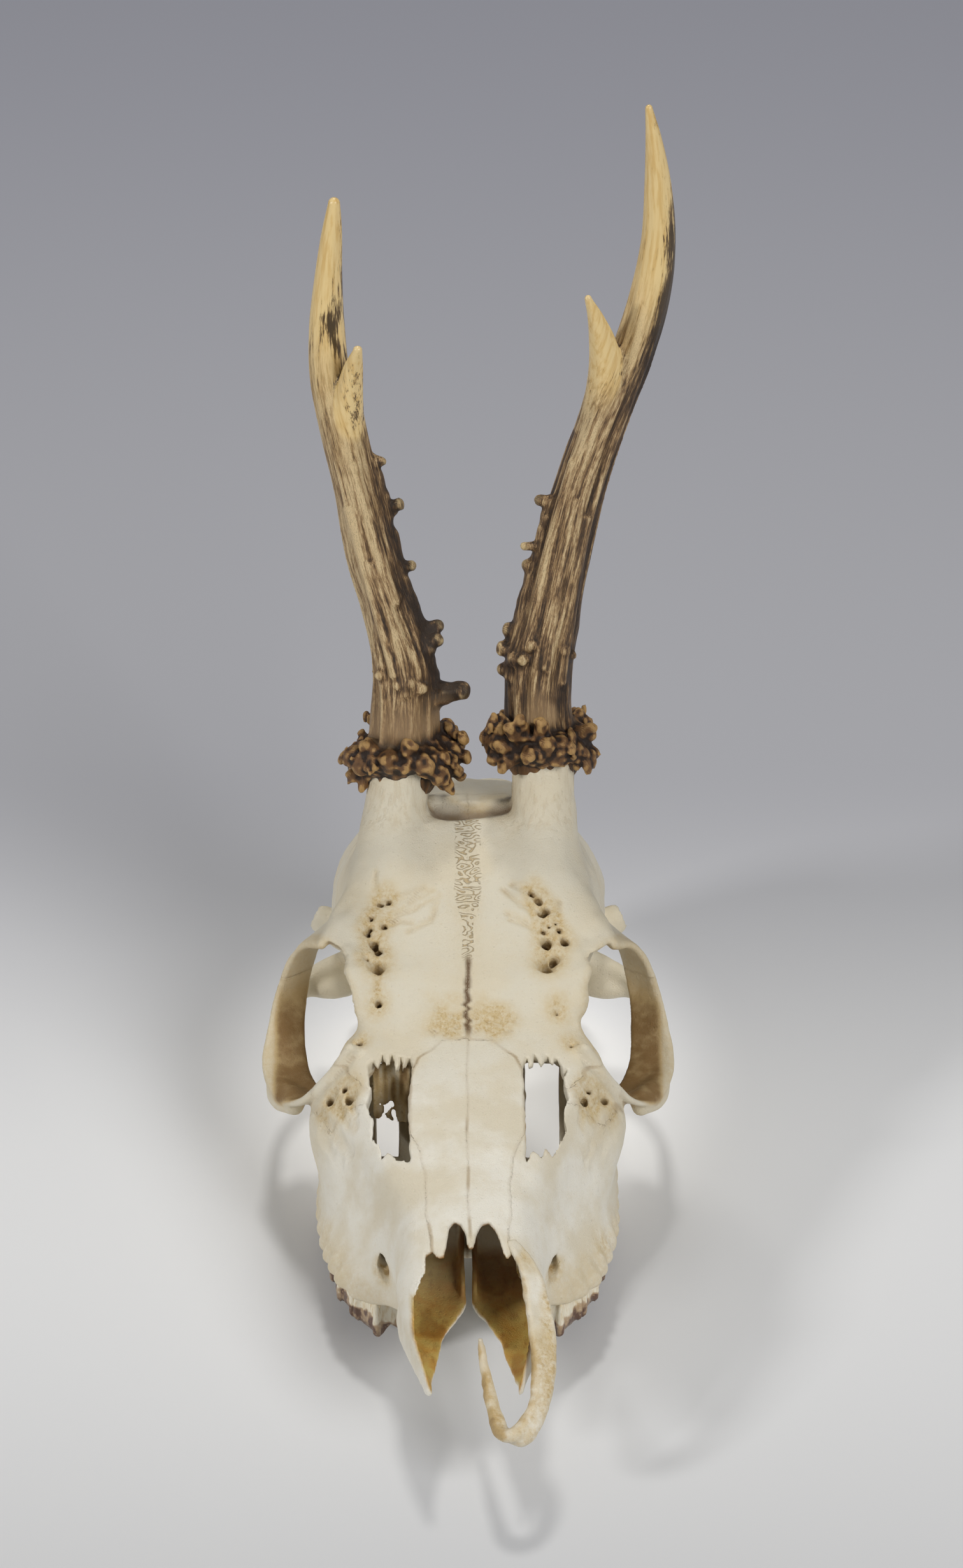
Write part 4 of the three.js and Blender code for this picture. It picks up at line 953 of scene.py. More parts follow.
def bone_values(p, q, cavity_depth, seam):
    """What the bone material reads at each point."""
    x, y, z = p.T
    aside = np.abs(x)
    n = normals_of(p, q)
    hollow = hollowness(p, q, n)
    # how far the surface curves in, which drives the painted shade and dirt in the hollows
    crevice_shade_and_dirt = smooth_step(0.012, 0.07, hollow / BONE_PITCH * 0.5)
    up = smooth_step(0.1, 0.6, n[:, 2])
    inside = smooth_step(1.7, 1.1, cavity_depth)
    nose_front = smooth_step(70, 34, y)
    behind = smooth_step(60, 66, y)
    shards = bump(y, 72, 7) * stretch(12, 13, 17.4, 18.6, aside) * stretch(30, 33, 42.6, 43.6, z)
    lining = np.maximum(inside * (1 - behind), 0.9 * shards)
    torn = bump(x + 0.8 * noise(p, 2, 21), 12.4, 4.4) * bump(y, 30, 11) * smooth_step(17, 20, z)
    other = bump(x + noise(p, 2, 22), -11, 3) * bump(y, 35, 8) * smooth_step(20, 22, z)
    torn = np.maximum(torn, 0.8 * other)
    lining = lining * (1 - smooth_step(0.25, 0.5, torn))
    deep = 0.95 * lining * smooth_step(28, 42, y + 5 * noise(p, 9, 11))
    deep = deep * smooth_step(15, 22, z + 3 * noise(p, 7, 12))
    deep = np.maximum(deep, 0.5 * lining * smooth_step(0.05, 0.45, noise(p, (3, 5, 5), 23)))
    from_eye = np.linalg.norm(np.stack([aside, y, z], 1) - EYE, axis=1)
    orbit = smooth_step(EYE_RADIUS + 1.9, EYE_RADIUS + 0.1, from_eye)
    ring = orbit * stretch(27, 33, 42, 44.6, aside) * (0.15 + 0.85 * smooth_step(49, 37, z))
    underside = smooth_step(0.2, -0.5, n[:, 2]) * smooth_step(24, 34, aside) * bump(y, 112, 26)
    nasion = bump(aside + 2.4 * noise(p, 5, 24), 4.5, 9) * bump(y, 99.4 + 2 * noise(p, 3, 25), 6.6) * up
    holes = sum(smooth_step(r * 2.4 + 2.8, r, np.hypot(x - hx, y - hy)) for hx, hy, r, _ in FORAMINA)
    pit = sum(smooth_step(r * 1.1 + 0.3, r * 0.6, np.hypot(x - hx, y - hy)) for hx, hy, r, _ in FORAMINA)
    upper = smooth_step(30, 36, z) * smooth_step(70, 74, y)
    grooves = near_lines(p, GROOVES, 1.3) * upper
    alveolar = smooth_step(19, 14, z + 2 * noise(p, 5, 26)) * stretch(45, 53, 90, 116, y)
    alveolar *= smooth_step(13, 16, aside)
    margin = bump(np.hypot(aside - 24, y - 100), 0, 12) * up
    clouds = smooth_step(0.45, 0.9, noise(p, 14, 13))
    stain = 1.5 * nasion + 0.8 * np.minimum(holes, 1) * upper + 0.5 * orbit + 0.3 * underside
    stain += 0.4 * grooves + 0.35 * clouds + 0.5 * alveolar + 0.25 * margin
    stain += 0.25 * smooth_step(40, 20, z) * smooth_step(100, 120, y)
    stain += 0.3 * bump(x, 0, 5) * bump(y, 120, 26) * up
    canal = smooth_step(4.2, 2.2, np.hypot(np.hypot(aside - 18.6, z - 18.4), 0.6 * (y - 51)))
    ring = np.maximum(ring, 0.9 * canal * smooth_step(0.05, 0.5, crevice_shade_and_dirt))
    stain = np.maximum(stain, 0.7 * canal)
    side_crack = bump(aside, 11, 5) * bump(y, 90, 6) + bump(aside, 24, 6) * bump(y, 93, 7)
    zigzag = stretch(112, 116, 146, 149, y) * up
    band_width = 1.3 + 1.6 * smooth_step(121, 128, y) + 0.4 * noise(p, 2.5, 28)
    pedicle = smooth_step(70, 84, z) * smooth_step(12.5, 9, from_pedicle(x, y))
    crack = bump(x, suture_shift(y), 1.0 + 0.4 * noise(p, 2, 29)) * stretch(95, 98, 112, 115, y) * up
    # the hollow between the pedicles: tan over the crest and soil on its floor, painted shadow together
    # with dirt
    crest = bump(y, 152, 9) * smooth_step(12, 9, aside) * smooth_step(72, 76, z)
    depth = crest * smooth_step(81.5, 78.5, z + 1.2 * noise(p, 3, 32)) * bump(y, 150, 5)
    stain = stain + 0.7 * crest * smooth_step(-0.2, 0.5, noise(p, 3.4, 33))
    crack = np.maximum(crack, 0.85 * depth)
    # soil in the crack, and soil with painted shade in the pits of the holes
    dirt_and_shade = np.maximum(crack, 0.7 * np.clip(pit, 0, 1) * upper * smooth_step(0.2, 0.7, crevice_shade_and_dirt))
    seam_dark = np.clip(0.12 + 0.5 * side_crack + 0.4 * smooth_step(0.2, 0.7, noise(p, 7, 27)), 0, 1)
    return dict(
        place=p, seam=seam, crevice_shade_and_dirt=crevice_shade_and_dirt, deep=deep, fibre=pedicle, zigzag=zigzag, across=x / band_width,
        painted_light_towards_muzzle=smooth_step(100, 72, y), lining=lining * (0.7 + 0.3 * nose_front), ring=np.clip(ring, 0, 1),
        stain=np.clip(stain, 0, 1), soil_and_shade=np.clip(dirt_and_shade, 0, 1), seam_dark=seam_dark * (1 - zigzag))


def build_bones(material):
    block = Block((-48, 2, -1), (48, 194, 99), BONE_PITCH)
    bone, cavity = skull_solid(block)
    fields, seam = part_bones(block, bone)
    for name, field in fields.items():
        points, quads = skin(block, field)
        # the lips of each suture are drawn back onto the outside of the whole skull, to meet in a hairline
        for _ in range(2):
            depth = block.sample(bone, points)
            outward = slope_of(block, bone, points)
            points = points - outward * (depth * smooth_step(-0.9, -0.45, depth))[:, None]
        points = points + outward * bone_relief(points)[:, None]
        values = bone_values(points, quads, block.sample(cavity, points), block.sample(seam, points))
        make_piece(f"bone_{name}", points, quads, material, "bone", [name], **values)


# The left premaxilla: the body along the nasal opening, the tip, and the process back to the palate.
PREMAXILLA = [(8.8, 39.5, 33.2, 1.3, 0.7), (11.8, 34.6, 30.4, 2.3, 0.9), (13.6, 28, 25.8, 3.0, 1.0),
              (14.4, 21, 20.6, 3.1, 1.1), (14.0, 14.4, 15.8, 2.6, 1.2), (12.2, 8.4, 11.8, 2.3, 1.3),
              (8.8, 4.6, 8.8, 2.3, 1.4), (5.6, 5.6, 8.4, 2.0, 1.3), (4, 11.5, 9.4, 1.5, 1.1),
              (2.9, 20, 11.4, 1.2, 1.0), (2, 31, 14.6, 0.7, 0.6)]
# What is left of the right upper turbinate, a torn sheet that hangs behind the opening in the face.
TURBINATE = ([(-12.6, 93, 45), (-16.5, 94.4, 45.4), (-20.6, 93.6, 44.4)],
             [(-13.4, 88, 34.6), (-16, 90, 33.6), (-20, 90, 34.4)])


def loose_values(points, quads):
    """What the bone material reads on a bone away from the cavity and the sutures."""
    far = np.full(len(points), FAR)
    return bone_values(points, quads, far, far)


def build_loose_bones(material):
    block = Block((-4, 0, 3), (20, 43, 37), min(BONE_PITCH, 0.4))
    field = block.empty()
    add(field, rod(block, PREMAXILLA, across=(-0.9, -0.2, 0.35), step=0.3))
    points, quads = skin(block, field)
    rough = 0.3 * noise(points, 5, 71) + 0.16 * noise(points, 1.8, 72)
    points = points + normals_of(points, quads) * rough[:, None]
    values = loose_values(points, quads)
    streak = noise(points, (2.2, 6, 4), 73) + 0.6 * noise(points, 1.6, 75)
    low = smooth_step(30, 14, points[:, 1])
    values["stain"] = np.clip(0.35 + 0.5 * low + 0.5 * streak, 0.1, 1)
    inner = smooth_step(0.3, -0.4, normals_of(points, quads)[:, 0])
    values["ring"] = np.clip((0.2 * low + 0.5 * inner) * smooth_step(-0.8, 0.6, streak), 0, 1)
    nodes = ["premaxilla_left"]
    make_piece("bone_premaxilla_left", points, quads, material, "bone_yellowed", nodes, **values)

    block = Block((-24, 84, 30), (-9, 98, 48), 0.35)
    field = block.empty()
    add(field, plate(block, *TURBINATE, 0.9, step=0.25))
    grid = np.stack(np.meshgrid(*block.axes, indexing="ij"), -1)
    torn = (noise(grid, (1.9, 4, 2.6), 76) + 0.5 * noise(grid, (1.1, 3, 1.2), 77)
            + 0.9 * smooth_step(37, 33.4, grid[..., 2] + 2 * noise(grid, (1.6, 4, 30), 78))
            - 0.6 * smooth_step(36, 40, grid[..., 2]))
    field = soft_max(field, ((torn - 0.62) * 1.1).astype(np.float32), 0.3)
    points, quads = skin(block, field)
    points = points + normals_of(points, quads) * (0.3 * layered(points, (1.5, 3, 2.2), 74))[:, None]
    values = loose_values(points, quads)
    values["stain"] = np.clip(0.7 + 0.8 * noise(points, (1.0, 4, 5), 80), 0, 1)
    values["ring"] = np.clip(0.4 + 0.9 * noise(points, (0.9, 4, 5), 79), 0, 0.9)
    make_piece("turbinate_right", points, quads, material, "bone_yellowed", ["turbinate_right"], **values)


# ---- cheek teeth ----
# Second premolar to third molar: middle of the crown, length, width, the turn of the row there, lobes.
TEETH = [(18.2, 58, 9, 9.4, 0.56, 1), (22, 65.4, 8.2, 10.4, 0.42, 1), (23.8, 72.6, 7.4, 11, 0.24, 1),
         (24.4, 81.6, 10.6, 11.4, 0.16, 2), (25.2, 92.2, 11, 11.8, 0.06, 2),
         (25.6, 103.1, 11, 11, -0.04, 2)]
CROWN_TOP = 13.5


def tooth_field(block, side, x, y, length, width, turn, lobes):
    """One crown: a cheek side of upright ribs, a tongue side of round lobes, and crescents that bite."""
    reach = 9
    where, gx, gy, w = block.window((side * x - reach, y - reach, -2), (side * x + reach, y + reach, 17))
    u = (gx - side * x) * side * math.sin(turn) + (gy - y) * math.cos(turn)
    v = (gx - side * x) * side * math.cos(turn) - (gy - y) * math.sin(turn)
    half = length / 2 - 0.12
    centres = [0.0] if lobes == 1 else [-length / 4, length / 4]
    lobe_half = half / lobes
    outline, crown = None, None
    for middle in centres:
        lu = (u - middle) / (lobe_half + 0.2)
        lv = (v + 0.04 * width) / (width / 2)
        lobe = (np.power(np.abs(lu), 3.0) + np.power(np.abs(lv), 2.4)) ** (1 / 2.7) - 1
        lobe = lobe * min(lobe_half, width / 2)
        outline = lobe if outline is None else soft_min(outline, lobe, 0.8)
        inside = np.clip(lu, -1.15, 1.15)
        cheek_ridge = width * (0.40 - 0.15 * (1 - inside**2))
        tongue_ridge = width * (-0.43 + 0.30 * inside**2)
        cheek = 0.1 + 1.5 * inside**2 + np.where(v > cheek_ridge, 1.5, 1.0) * np.abs(v - cheek_ridge)
        tongue = 0.8 + 1.1 * inside**2 + np.where(v < tongue_ridge, 1.6, 1.0) * np.abs(v - tongue_ridge)
        spur = 1.9 + 1.1 * np.abs(v + 0.02 * width) + 1.6 * np.abs(inside) * 2
        here = np.minimum(np.minimum(cheek, tongue), spur) + 3 * np.maximum(np.abs(lu) - 1.1, 0)
        crown = here if crown is None else np.minimum(crown, here)
    for rib in np.linspace(-half + 0.5, half - 0.5, lobes + 1):
        outline = soft_min(outline, np.hypot(u - rib, v - 0.44 * width) - 0.9, 1.2)
        crown = np.minimum(crown, 1.5 + 1.2 * np.hypot(u - rib, v - 0.43 * width))
    neck = 1.0 * np.clip((w - 4) / (CROWN_TOP - 4), 0, 1) ** 1.5 + 0.5 * np.clip((5 - w) / 5, 0, 1) ** 2
    shape = soft_max(outline + neck, (np.minimum(crown, 4.2) - w) * 0.62, 0.25)
    return where, np.maximum(shape, w - CROWN_TOP)


def build_teeth(material):
    for name, side in SIDES.items():
        x_low, x_high = sorted((side * 8, side * 36))
        block = Block((x_low, 51, -1.4), (x_high, 111, 15), TOOTH_PITCH)
        for number, tooth in enumerate(TEETH):
            field = block.empty()
            add(field, tooth_field(block, side, *tooth))
            points, quads = skin(block, field)
            n = normals_of(points, quads)
            uneven = 0.10 * noise(points, (0.9, 0.9, 5), 81 + number) + 0.05 * noise(points, 0.8, 90)
            points = points + n * uneven[:, None]
            hollow = smooth_step(0.0, 0.05, hollowness(points, quads, n) / TOOTH_PITCH * 0.5)
            height = points[:, 2] + 1.5 * noise(points, (2.4, 2.4, 9), 91) + 0.6 * noise(points, 0.9, 93)
            low = smooth_step(6.0, 4.4, height)
            biting = low * smooth_step(0.6, -0.3, n[:, 2])
            patchy = smooth_step(-0.1, 0.5, noise(points, (1.6, 1.6, 3), 94))
            dark = np.clip(0.8 * biting + 0.8 * low * patchy + 0.5 * hollow * low, 0, 1)
            values = dict(place=points, crevice_shade_and_dirt=dark, stain=0.7 * smooth_step(8.0, 11, height))
            nodes = [f"maxilla_{name}"]
            make_piece(f"tooth_{name}_{number + 1}", points, quads, material, "bone", nodes, **values)


# ---- antlers ----
# Each beam and each tine runs up to its tip as (x, y, z, radius). The burr is its middle, its reach, and
# how much it leans to the side. Pearls are knobs of the beam and tips are knobs of the burr, as
# (x, y, z, radius). A rib is a raised line on the beam, as (z, degrees from the front towards the deer's
# left, radius). Above the height "fork" the beam goes on as the top.
ANTLERS = {
    "left": {
        "box": ((0, 136, 84), (48, 174, 243)),
        "burr": ((16.9, 152.4, 96.4), 11.2, 0.06),
        "beam": [(17, 152.4, 93, 8.0), (15.8, 153.6, 104, 7.2), (16.4, 155.5, 115.6, 7),
                 (18.6, 157.4, 127, 6.4), (21.4, 160, 140, 5.8), (25.2, 162.6, 155, 5.5),
                 (30.2, 165, 169, 5.4), (35.4, 166, 181.5, 4.8), (39.4, 166, 195, 4.4),
                 (41.4, 165.8, 209, 3.6), (41, 163.8, 223, 2.8), (39.8, 161.8, 234, 1.7),
                 (38.7, 160.6, 240.6, 0.8)],
        "tine": [(24.6, 161.6, 152, 2.6), (27.4, 163.2, 162, 3.6), (29.6, 164.4, 170, 4.4),
                 (30.4, 163, 180, 3.8), (29.4, 160.4, 188.5, 2.9), (27.7, 157.8, 195.2, 1.7),
                 (26.1, 156, 199.6, 0.8)],
        "fork": 176,
        "pearls": [(16.1, 161.3, 150.7, 1.3), (13.4, 158.6, 136.1, 1.5), (12.2, 157, 128.1, 0.9),
                   (9.2, 156.5, 121.5, 1.6), (7.9, 155.1, 117.4, 1.7), (7.8, 154.3, 112.8, 1.3),
                   (10.2, 151.5, 116.4, 1.3), (12.1, 149.5, 117, 1.2), (14.4, 149.6, 120.8, 0.8),
                   (21.6, 150.6, 119, 1.0), (12.6, 158.2, 141, 0.9), (23.4, 152.6, 117, 0.9)],
        "ribs": [[(160, -42, 1.0), (140, -38, 1.2), (120, -30, 1.1)],
                 [(152, -5, 0.9), (132, 2, 1.1), (116, 8, 1.0)],
                 [(148, 32, 0.8), (130, 38, 1.1), (112, 44, 1.0)],
                 [(134, -75, 0.9), (112, -70, 1.2)]],
        "tips": [(4.1, 150, 97.5, 1.5), (7.2, 145, 98.2, 1.7), (9.3, 142, 104.3, 1.4),
                 (11.4, 142, 105.9, 1.2), (16.4, 142, 105.4, 1.5), (13.6, 141.6, 97.3, 1.9),
                 (19.3, 143, 95.6, 1.8), (24.4, 146.6, 96.1, 1.8), (27.4, 151, 98.1, 1.7),
                 (28.6, 150.4, 94, 1.3), (7.9, 144, 93.4, 1.5), (17.8, 141.6, 100.4, 1.7),
                 (27.6, 149, 101, 1.2), (5.4, 147, 93.6, 1.3)],
    },
    "right": {
        "box": ((-38, 136, 80), (4, 174, 223)),
        "burr": ((-14.4, 152, 93), 11.6, -0.14),
        "beam": [(-14.7, 151.8, 89.6, 7.8), (-14.2, 153.4, 103, 7.4), (-14.4, 155.2, 114, 6.8),
                 (-17.4, 157.2, 126, 5.9), (-21, 159.4, 137, 5.5), (-24.4, 162, 153.5, 5.1),
                 (-27.6, 164, 167, 4.9), (-30.2, 164.8, 179, 4.3), (-30.7, 164.2, 190, 3.8),
                 (-30.2, 163.4, 202, 3), (-29.3, 162.8, 212.4, 2.2), (-28.7, 162.3, 219, 1.3)],
        "tine": [(-21.2, 157.4, 136, 2.2), (-24, 160, 150, 3.2), (-26.6, 162.6, 164, 3.8),
                 (-26.2, 160.8, 174, 3.2), (-25, 157.6, 183, 2.2), (-23.8, 154.4, 188.4, 1.0)],
        "fork": 170,
        "pearls": [(-18.9, 161.9, 159.7, 1), (-15.3, 160.9, 149.8, 1.4), (-16.4, 160.9, 148.4, 1),
                   (-12.6, 158.7, 136, 1.3), (-13, 156.7, 129.2, 1.3), (-15.9, 154.2, 130.5, 1.0),
                   (-6.9, 156, 122.5, 1.6), (-6.9, 153.7, 120.1, 1.6), (-8.6, 152.8, 118.4, 1.3),
                   (-1.6, 152.1, 108.5, 2.2), (-5.4, 152.2, 107.8, 2.3), (-13, 148.3, 111.9, 1.2),
                   (-15.6, 148.2, 111.6, 0.9), (-10.4, 148.8, 110.4, 1.3), (-19.8, 149.6, 113.3, 0.9)],
        "ribs": [[(160, 8, 0.9), (146, 18, 1.2), (130, 28, 1.0)],
                 [(150, -28, 0.8), (130, -22, 1.0), (114, -18, 0.9)],
                 [(138, -2, 0.8), (120, 4, 1.0), (110, 4, 0.8)]],
        "tips": [(-26.5, 149, 88.2, 1.3), (-24, 148.4, 86.4, 1.2), (-28.0, 151, 92.6, 1.6),
                 (-22.7, 146, 97.9, 1.5), (-17.7, 142.6, 96, 2.0), (-13, 142, 99.8, 1.6),
                 (-9.2, 141.6, 94.9, 2.0), (-4.2, 144.6, 88.2, 1.7), (-0.6, 149, 93.5, 1.5),
                 (-1.8, 148, 89.2, 1.3), (-14, 141.8, 94.4, 1.5), (-6.6, 143, 91.6, 1.8),
                 (-24.4, 146, 92, 1.8), (-2.6, 146.4, 91.4, 1.6)],
    },
}


class Stem:
    """A tapering, gently leaning stem, described by where its axis and radius are at each height."""

    def __init__(self, stops):
        self.line = smooth_line(stops, 0.3)
        self.low, self.high = self.line[0, 2], self.line[-1, 2]

    def at(self, z):
        z = np.clip(z, self.low, self.high)
        return [np.interp(z, self.line[:, 2], self.line[:, i]) for i in (0, 1, 3)]

    def beside(self, z, turn, above):
        """The point at this height and angle, `above` mm off the surface."""
        x, y, radius = self.at(z)
        reach = radius + above
        turn = math.radians(turn)
        return float(x + reach * math.sin(turn)), float(y - reach * math.cos(turn))

    def field(self, block, relief):
        """Distance to the stem. `relief` gives how far it stands out, from the angle and the height."""
        x, y, z = block.axes[0][:, None, None], block.axes[1][None, :, None], block.axes[2]
        cx, cy, radius = (values.astype(np.float32)[None, None, :] for values in self.at(z))
        dx, dy = x - cx, y - cy
        out = np.sqrt(dx * dx + dy * dy)
        beyond = np.maximum(np.maximum(self.low - z, z - self.high), 0)[None, None, :]
        columns = relief.shape[1]
        turn = ((np.arctan2(dx, -dy) / (2 * np.pi) % 1) * columns).astype(np.int32) % columns
        extra = relief[np.arange(len(z))[None, None, :], turn]
        return np.where(beyond > 0, np.sqrt(out * out + beyond * beyond), out) - radius - extra


def unrolled(z, around, tall, seed, columns=360):
    """Smooth noise on an unrolled stem, a row for each height: `around` lumps round it, `tall` mm high."""
    turn = np.arange(columns) / columns * 2 * np.pi
    reach = around / (2 * np.pi)
    x, y = reach * np.cos(turn)[None, :], reach * np.sin(turn)[None, :]
    return noise(np.stack(np.broadcast_arrays(x, y, (z / tall)[:, None]), -1), 1, seed)


def stem_relief(z, seed, radius, rough):
    """How far a stem stands out, for each height and each degree round it."""
    ridges = 1 - 2 * np.abs(unrolled(z, 15, 26, seed))
    cords = 1 - 2 * np.abs(unrolled(z, 30, 13, seed + 1))
    fine = unrolled(z, 60, 6, seed + 2)
    broad = unrolled(z, 5, 30, seed + 3)
    lines = 0.55 * ridges + 0.28 * cords + 0.16 * fine
    return (radius[:, None] * 0.045 * broad + rough[:, None] * lines).astype(np.float32)


def inner_pearls(data, beam):
    """Angle and height of the pearls that stand on the side of the beam, from the highest down."""
    found = []
    for x, y, z, _ in data["pearls"]:
        cx, cy, _ = beam.at(z)
        turn = math.degrees(math.atan2(x - cx, cy - y))
        if turn * cx < -40 * abs(cx):
            found.append((turn, z))
    return sorted(found, key=lambda pair: -pair[1])


def antler_field(block, data, seed):
    beam, tine = Stem(data["beam"]), Stem(data["tine"])
    z = block.axes[2].astype(float)
    top = beam.high
    rough = smooth_step(top - 18, top - 100, z) * 0.9 + 0.06
    shape = beam.field(block, stem_relief(z, seed, beam.at(z)[2], rough))
    prong_rough = smooth_step(tine.high - 6, tine.high - 40, z) * 0.5 + 0.03
    prong = tine.field(block, stem_relief(z, seed + 10, tine.at(z)[2], prong_rough))
    field = soft_min(shape, prong, 1.6)
    for rib in data["ribs"]:
        stops = []
        for height, angle, radius in rib:
            cx, cy, r = (float(v) for v in beam.at(height))
            turn = math.radians(angle)
            stops.append((cx + r * math.sin(turn), cy - r * math.cos(turn), height, radius))
        add(field, rod(block, stops, step=0.4), 1.4)
    # the inner pearls stand on a raised, rough line
    line = [(*beam.beside(height, turn, 0.0), height, 1.3) for turn, height in inner_pearls(data, beam)]
    add(field, roughened(block, rod(block, line, step=0.4), 0.5, 2.2, seed + 9), 1.2)
    for x, y, height, radius in data["pearls"]:
        cx, cy, _ = beam.at(height)
        foot = (cx + 0.5 * (x - cx), cy + 0.5 * (y - cy), height - 0.7 * radius)
        middle = (cx + 0.8 * (x - cx), cy + 0.8 * (y - cy), height - 0.25 * radius)
        made = rod(block, [(*foot, radius * 1.5), (*middle, radius), (x, y, height, radius)], step=0.3)
        add(field, roughened(block, made, 0.2, 1.4, seed + 8), 1.0)
    add_burr(block, field, data, seed)
    return field, beam, tine


def add_burr(block, field, data, seed):
    """The burr: a collar of fused lumps, with longer knobs of its own in front."""
    (cx, cy, cz), reach, lean = data["burr"]
    where, x, y, z = block.window((cx - 17, cy - 17, cz - 8), (cx + 17, cy + 17, cz + 9))
    out = np.hypot(x - cx, y - cy) - 0.76 * reach
    level = (z - cz + lean * (x - cx) - 0.6) / 1.25
    grid = np.stack(np.broadcast_arrays(x, y, z), -1)
    swell = noise(grid, 5.5, seed + 6)
    turned = np.stack([grid[..., 0], grid[..., 1], grid[..., 2] * 0.62 + 0.5 * out], -1)
    lumps = lumpy(turned, 3.2, seed + 5) * (0.75 + 0.9 * swell) + 0.3 * lumpy(grid, 1.7, seed + 12)
    ring = np.hypot(out, level) - 1.7 - 2.1 * lumps - 2.2 * swell - 0.4 * noise(grid, 1.3, seed + 13)
    field[where] = soft_min(field[where], (0.7 * ring).astype(np.float32), 0.8)

    for x, y, z, radius in data["tips"]:
        radius = radius * 0.95
        out = np.array([x - cx, y - cy])
        root = out / max(np.linalg.norm(out), 1e-6) * 6.8
        foot = (cx + root[0], cy + root[1], cz + 0.6 - lean * root[0], radius * 1.7)
        half = 0.5 * (out + root)
        middle = (cx + half[0], cy + half[1], 0.5 * (z + cz) + 0.4, radius * 1.4)
        made = rod(block, [foot, middle, (x, y, z, radius)], step=0.35)
        add(field, roughened(block, made, 0.6, 1.6, seed + 7), 0.9)


def lumpy(points, size, seed):
    """Round lumps about as wide as `size`: 1 in the middle of each, 0 in the creases between them."""
    at = np.asarray(points, np.float32) / np.float32(size)
    cell = np.floor(at)
    nearest = np.full(at.shape[:-1], 9.0, np.float32)
    for shift in np.ndindex(3, 3, 3):
        near = cell + (np.array(shift) - 1)
        middle = near + 0.5 + 0.36 * np.stack([scrambled(near, seed + k) for k in range(3)], -1)
        nearest = np.minimum(nearest, ((at - middle) ** 2).sum(-1))
    return np.clip(1 - 1.7 * nearest, 0, 1)


def antler_values(points, quads, data, beam, tine, name):
    x, y, z = points.T
    cx, cy, radius = beam.at(z)
    out = np.hypot(x - cx, y - cy)
    turn = np.degrees(np.arctan2(x - cx, -(y - cy)))
    n = normals_of(points, quads)
    hollow = hollowness(points, quads, n, 2)
    top = beam.high
    near_tine = smooth_step(1.6, 0.2, out - radius - 0.3) < 0.5
    tx, ty, tine_radius = tine.at(z)
    nearer_tine = np.hypot(x - tx, y - ty) - tine_radius - (out - radius)
    on_tine = smooth_step(0.3, -0.8, nearer_tine) * smooth_step(tine.low + 6, tine.low + 30, z)
    polish = smooth_step(top - 66, top - 26, z + 8 * noise(points, (4, 4, 20), 101))
    tine_height = z + 4 * noise(points, (3, 3, 12), 102)
    tine_polish = on_tine * smooth_step(tine.high - 36, tine.high - 14, tine_height)
    polish = np.maximum(polish * (1 - on_tine), tine_polish)
    (bx, _, bz), _, lean = data["burr"]
    level = z - bz + lean * (x - bx)
    burr = smooth_step(7.5, 4, level + noise(points, 2.5, 107))
    burr = np.maximum(burr, smooth_step(13, 11, level) * smooth_step(0.6, 1.4, out - radius))
    standing = smooth_step(1.0, 2.6, out - radius) * (near_tine | (z < top - 90))
    knob_end = smooth_step(-0.02, -0.09, hollow / ANTLER_PITCH * 0.5)
    relief = np.clip(-hollow / ANTLER_PITCH * 14, -1, 1)
    lower = smooth_step(top - 60, top - 110, z)
    ridge_turn = np.interp(z, (bz + 20, data["fork"]), (24, 0))
    ridge = bump(turn, ridge_turn, 15) * smooth_step(bz + 12, bz + 30, z)
    # the side towards the lamp on the left is painted paler and the far side darker: painted light and
    # shade, over the antler's own streaks
    painted_light_side = np.cos(np.radians(turn + 60))
    dark = 0.50 + 0.26 * lower - 0.34 * painted_light_side - 0.3 * ridge + 0.3 * noise(points, (5, 5, 16), 103)
    turns, heights = zip(*reversed(inner_pearls(data, beam)))
    dark = dark + 0.5 * bump(turn, np.interp(z, heights, turns), 34) * (z < data["fork"] - 10)
    if name == "left":
        dark = dark + 0.9 * bump(turn, 70, 75) * stretch(165, 180, 208, 226, z)
    else:
        flecks = 0.7 + noise(points, (1.6, 1.6, 5), 106)
        dark = dark + 0.9 * bump(turn, 20, 70) * bump(z, 193, 11) * flecks
    pale = np.clip(1.1 * knob_end * standing * (1 - burr) * (0.8 + 0.6 * noise(points, 4, 104)), 0, 0.9)
    dust = 0.7 * bump(level, 8, 9) * smooth_step(-0.3, 0.3, noise(points, 5, 105) + 0.15)
    place = np.stack([x - cx, y - cy, z], 1)
    return dict(place=place, relief=relief, polish=polish, dark=dark, pale=pale, burr=burr,
                dust=np.clip(dust, 0, 1))


def build_antlers(material):
    for seed, (name, data) in enumerate(ANTLERS.items()):
        block = Block(*data["box"], ANTLER_PITCH)
        field, beam, tine = antler_field(block, data, 200 + 40 * seed)
        points, quads = skin(block, field)
        values = antler_values(points, quads, data, beam, tine, name)
        nodes = [f"antler_{name}_{part}" for part in ("beam", "top", "front_tine")]
        make_piece(f"antler_{name}", points, quads, material, "antler", nodes, **values)


# ---- the studio ----
# Colour of the floor in front of the skull, beside it, behind it and far behind, and the y in m between
# which each goes over into the next. These are painted light and shade: the floor is lightest beside the
# skull and painted darker in front of it and behind it, where the light falls off.
FLOOR_COLOURS_WITH_PAINTED_SHADE = ((0.32, 0.326, 0.338), (0.80, 0.812, 0.83), (0.46, 0.468, 0.508), (0.385, 0.394, 0.455))
FLOOR_FROM_TO = ((-0.35, 0.02), (0.02, 0.2), (0.2, 0.75))
FLOOR_REACH = 6.0
GLOW_PLACE = 0.062  # y of the middle of the light that comes up through the floor behind the skull
GLOW_EDGE = (0.025, 0.085)  # how far from there the light begins to fade, and where it ends, in m
GLOW_STRENGTH = 0.34
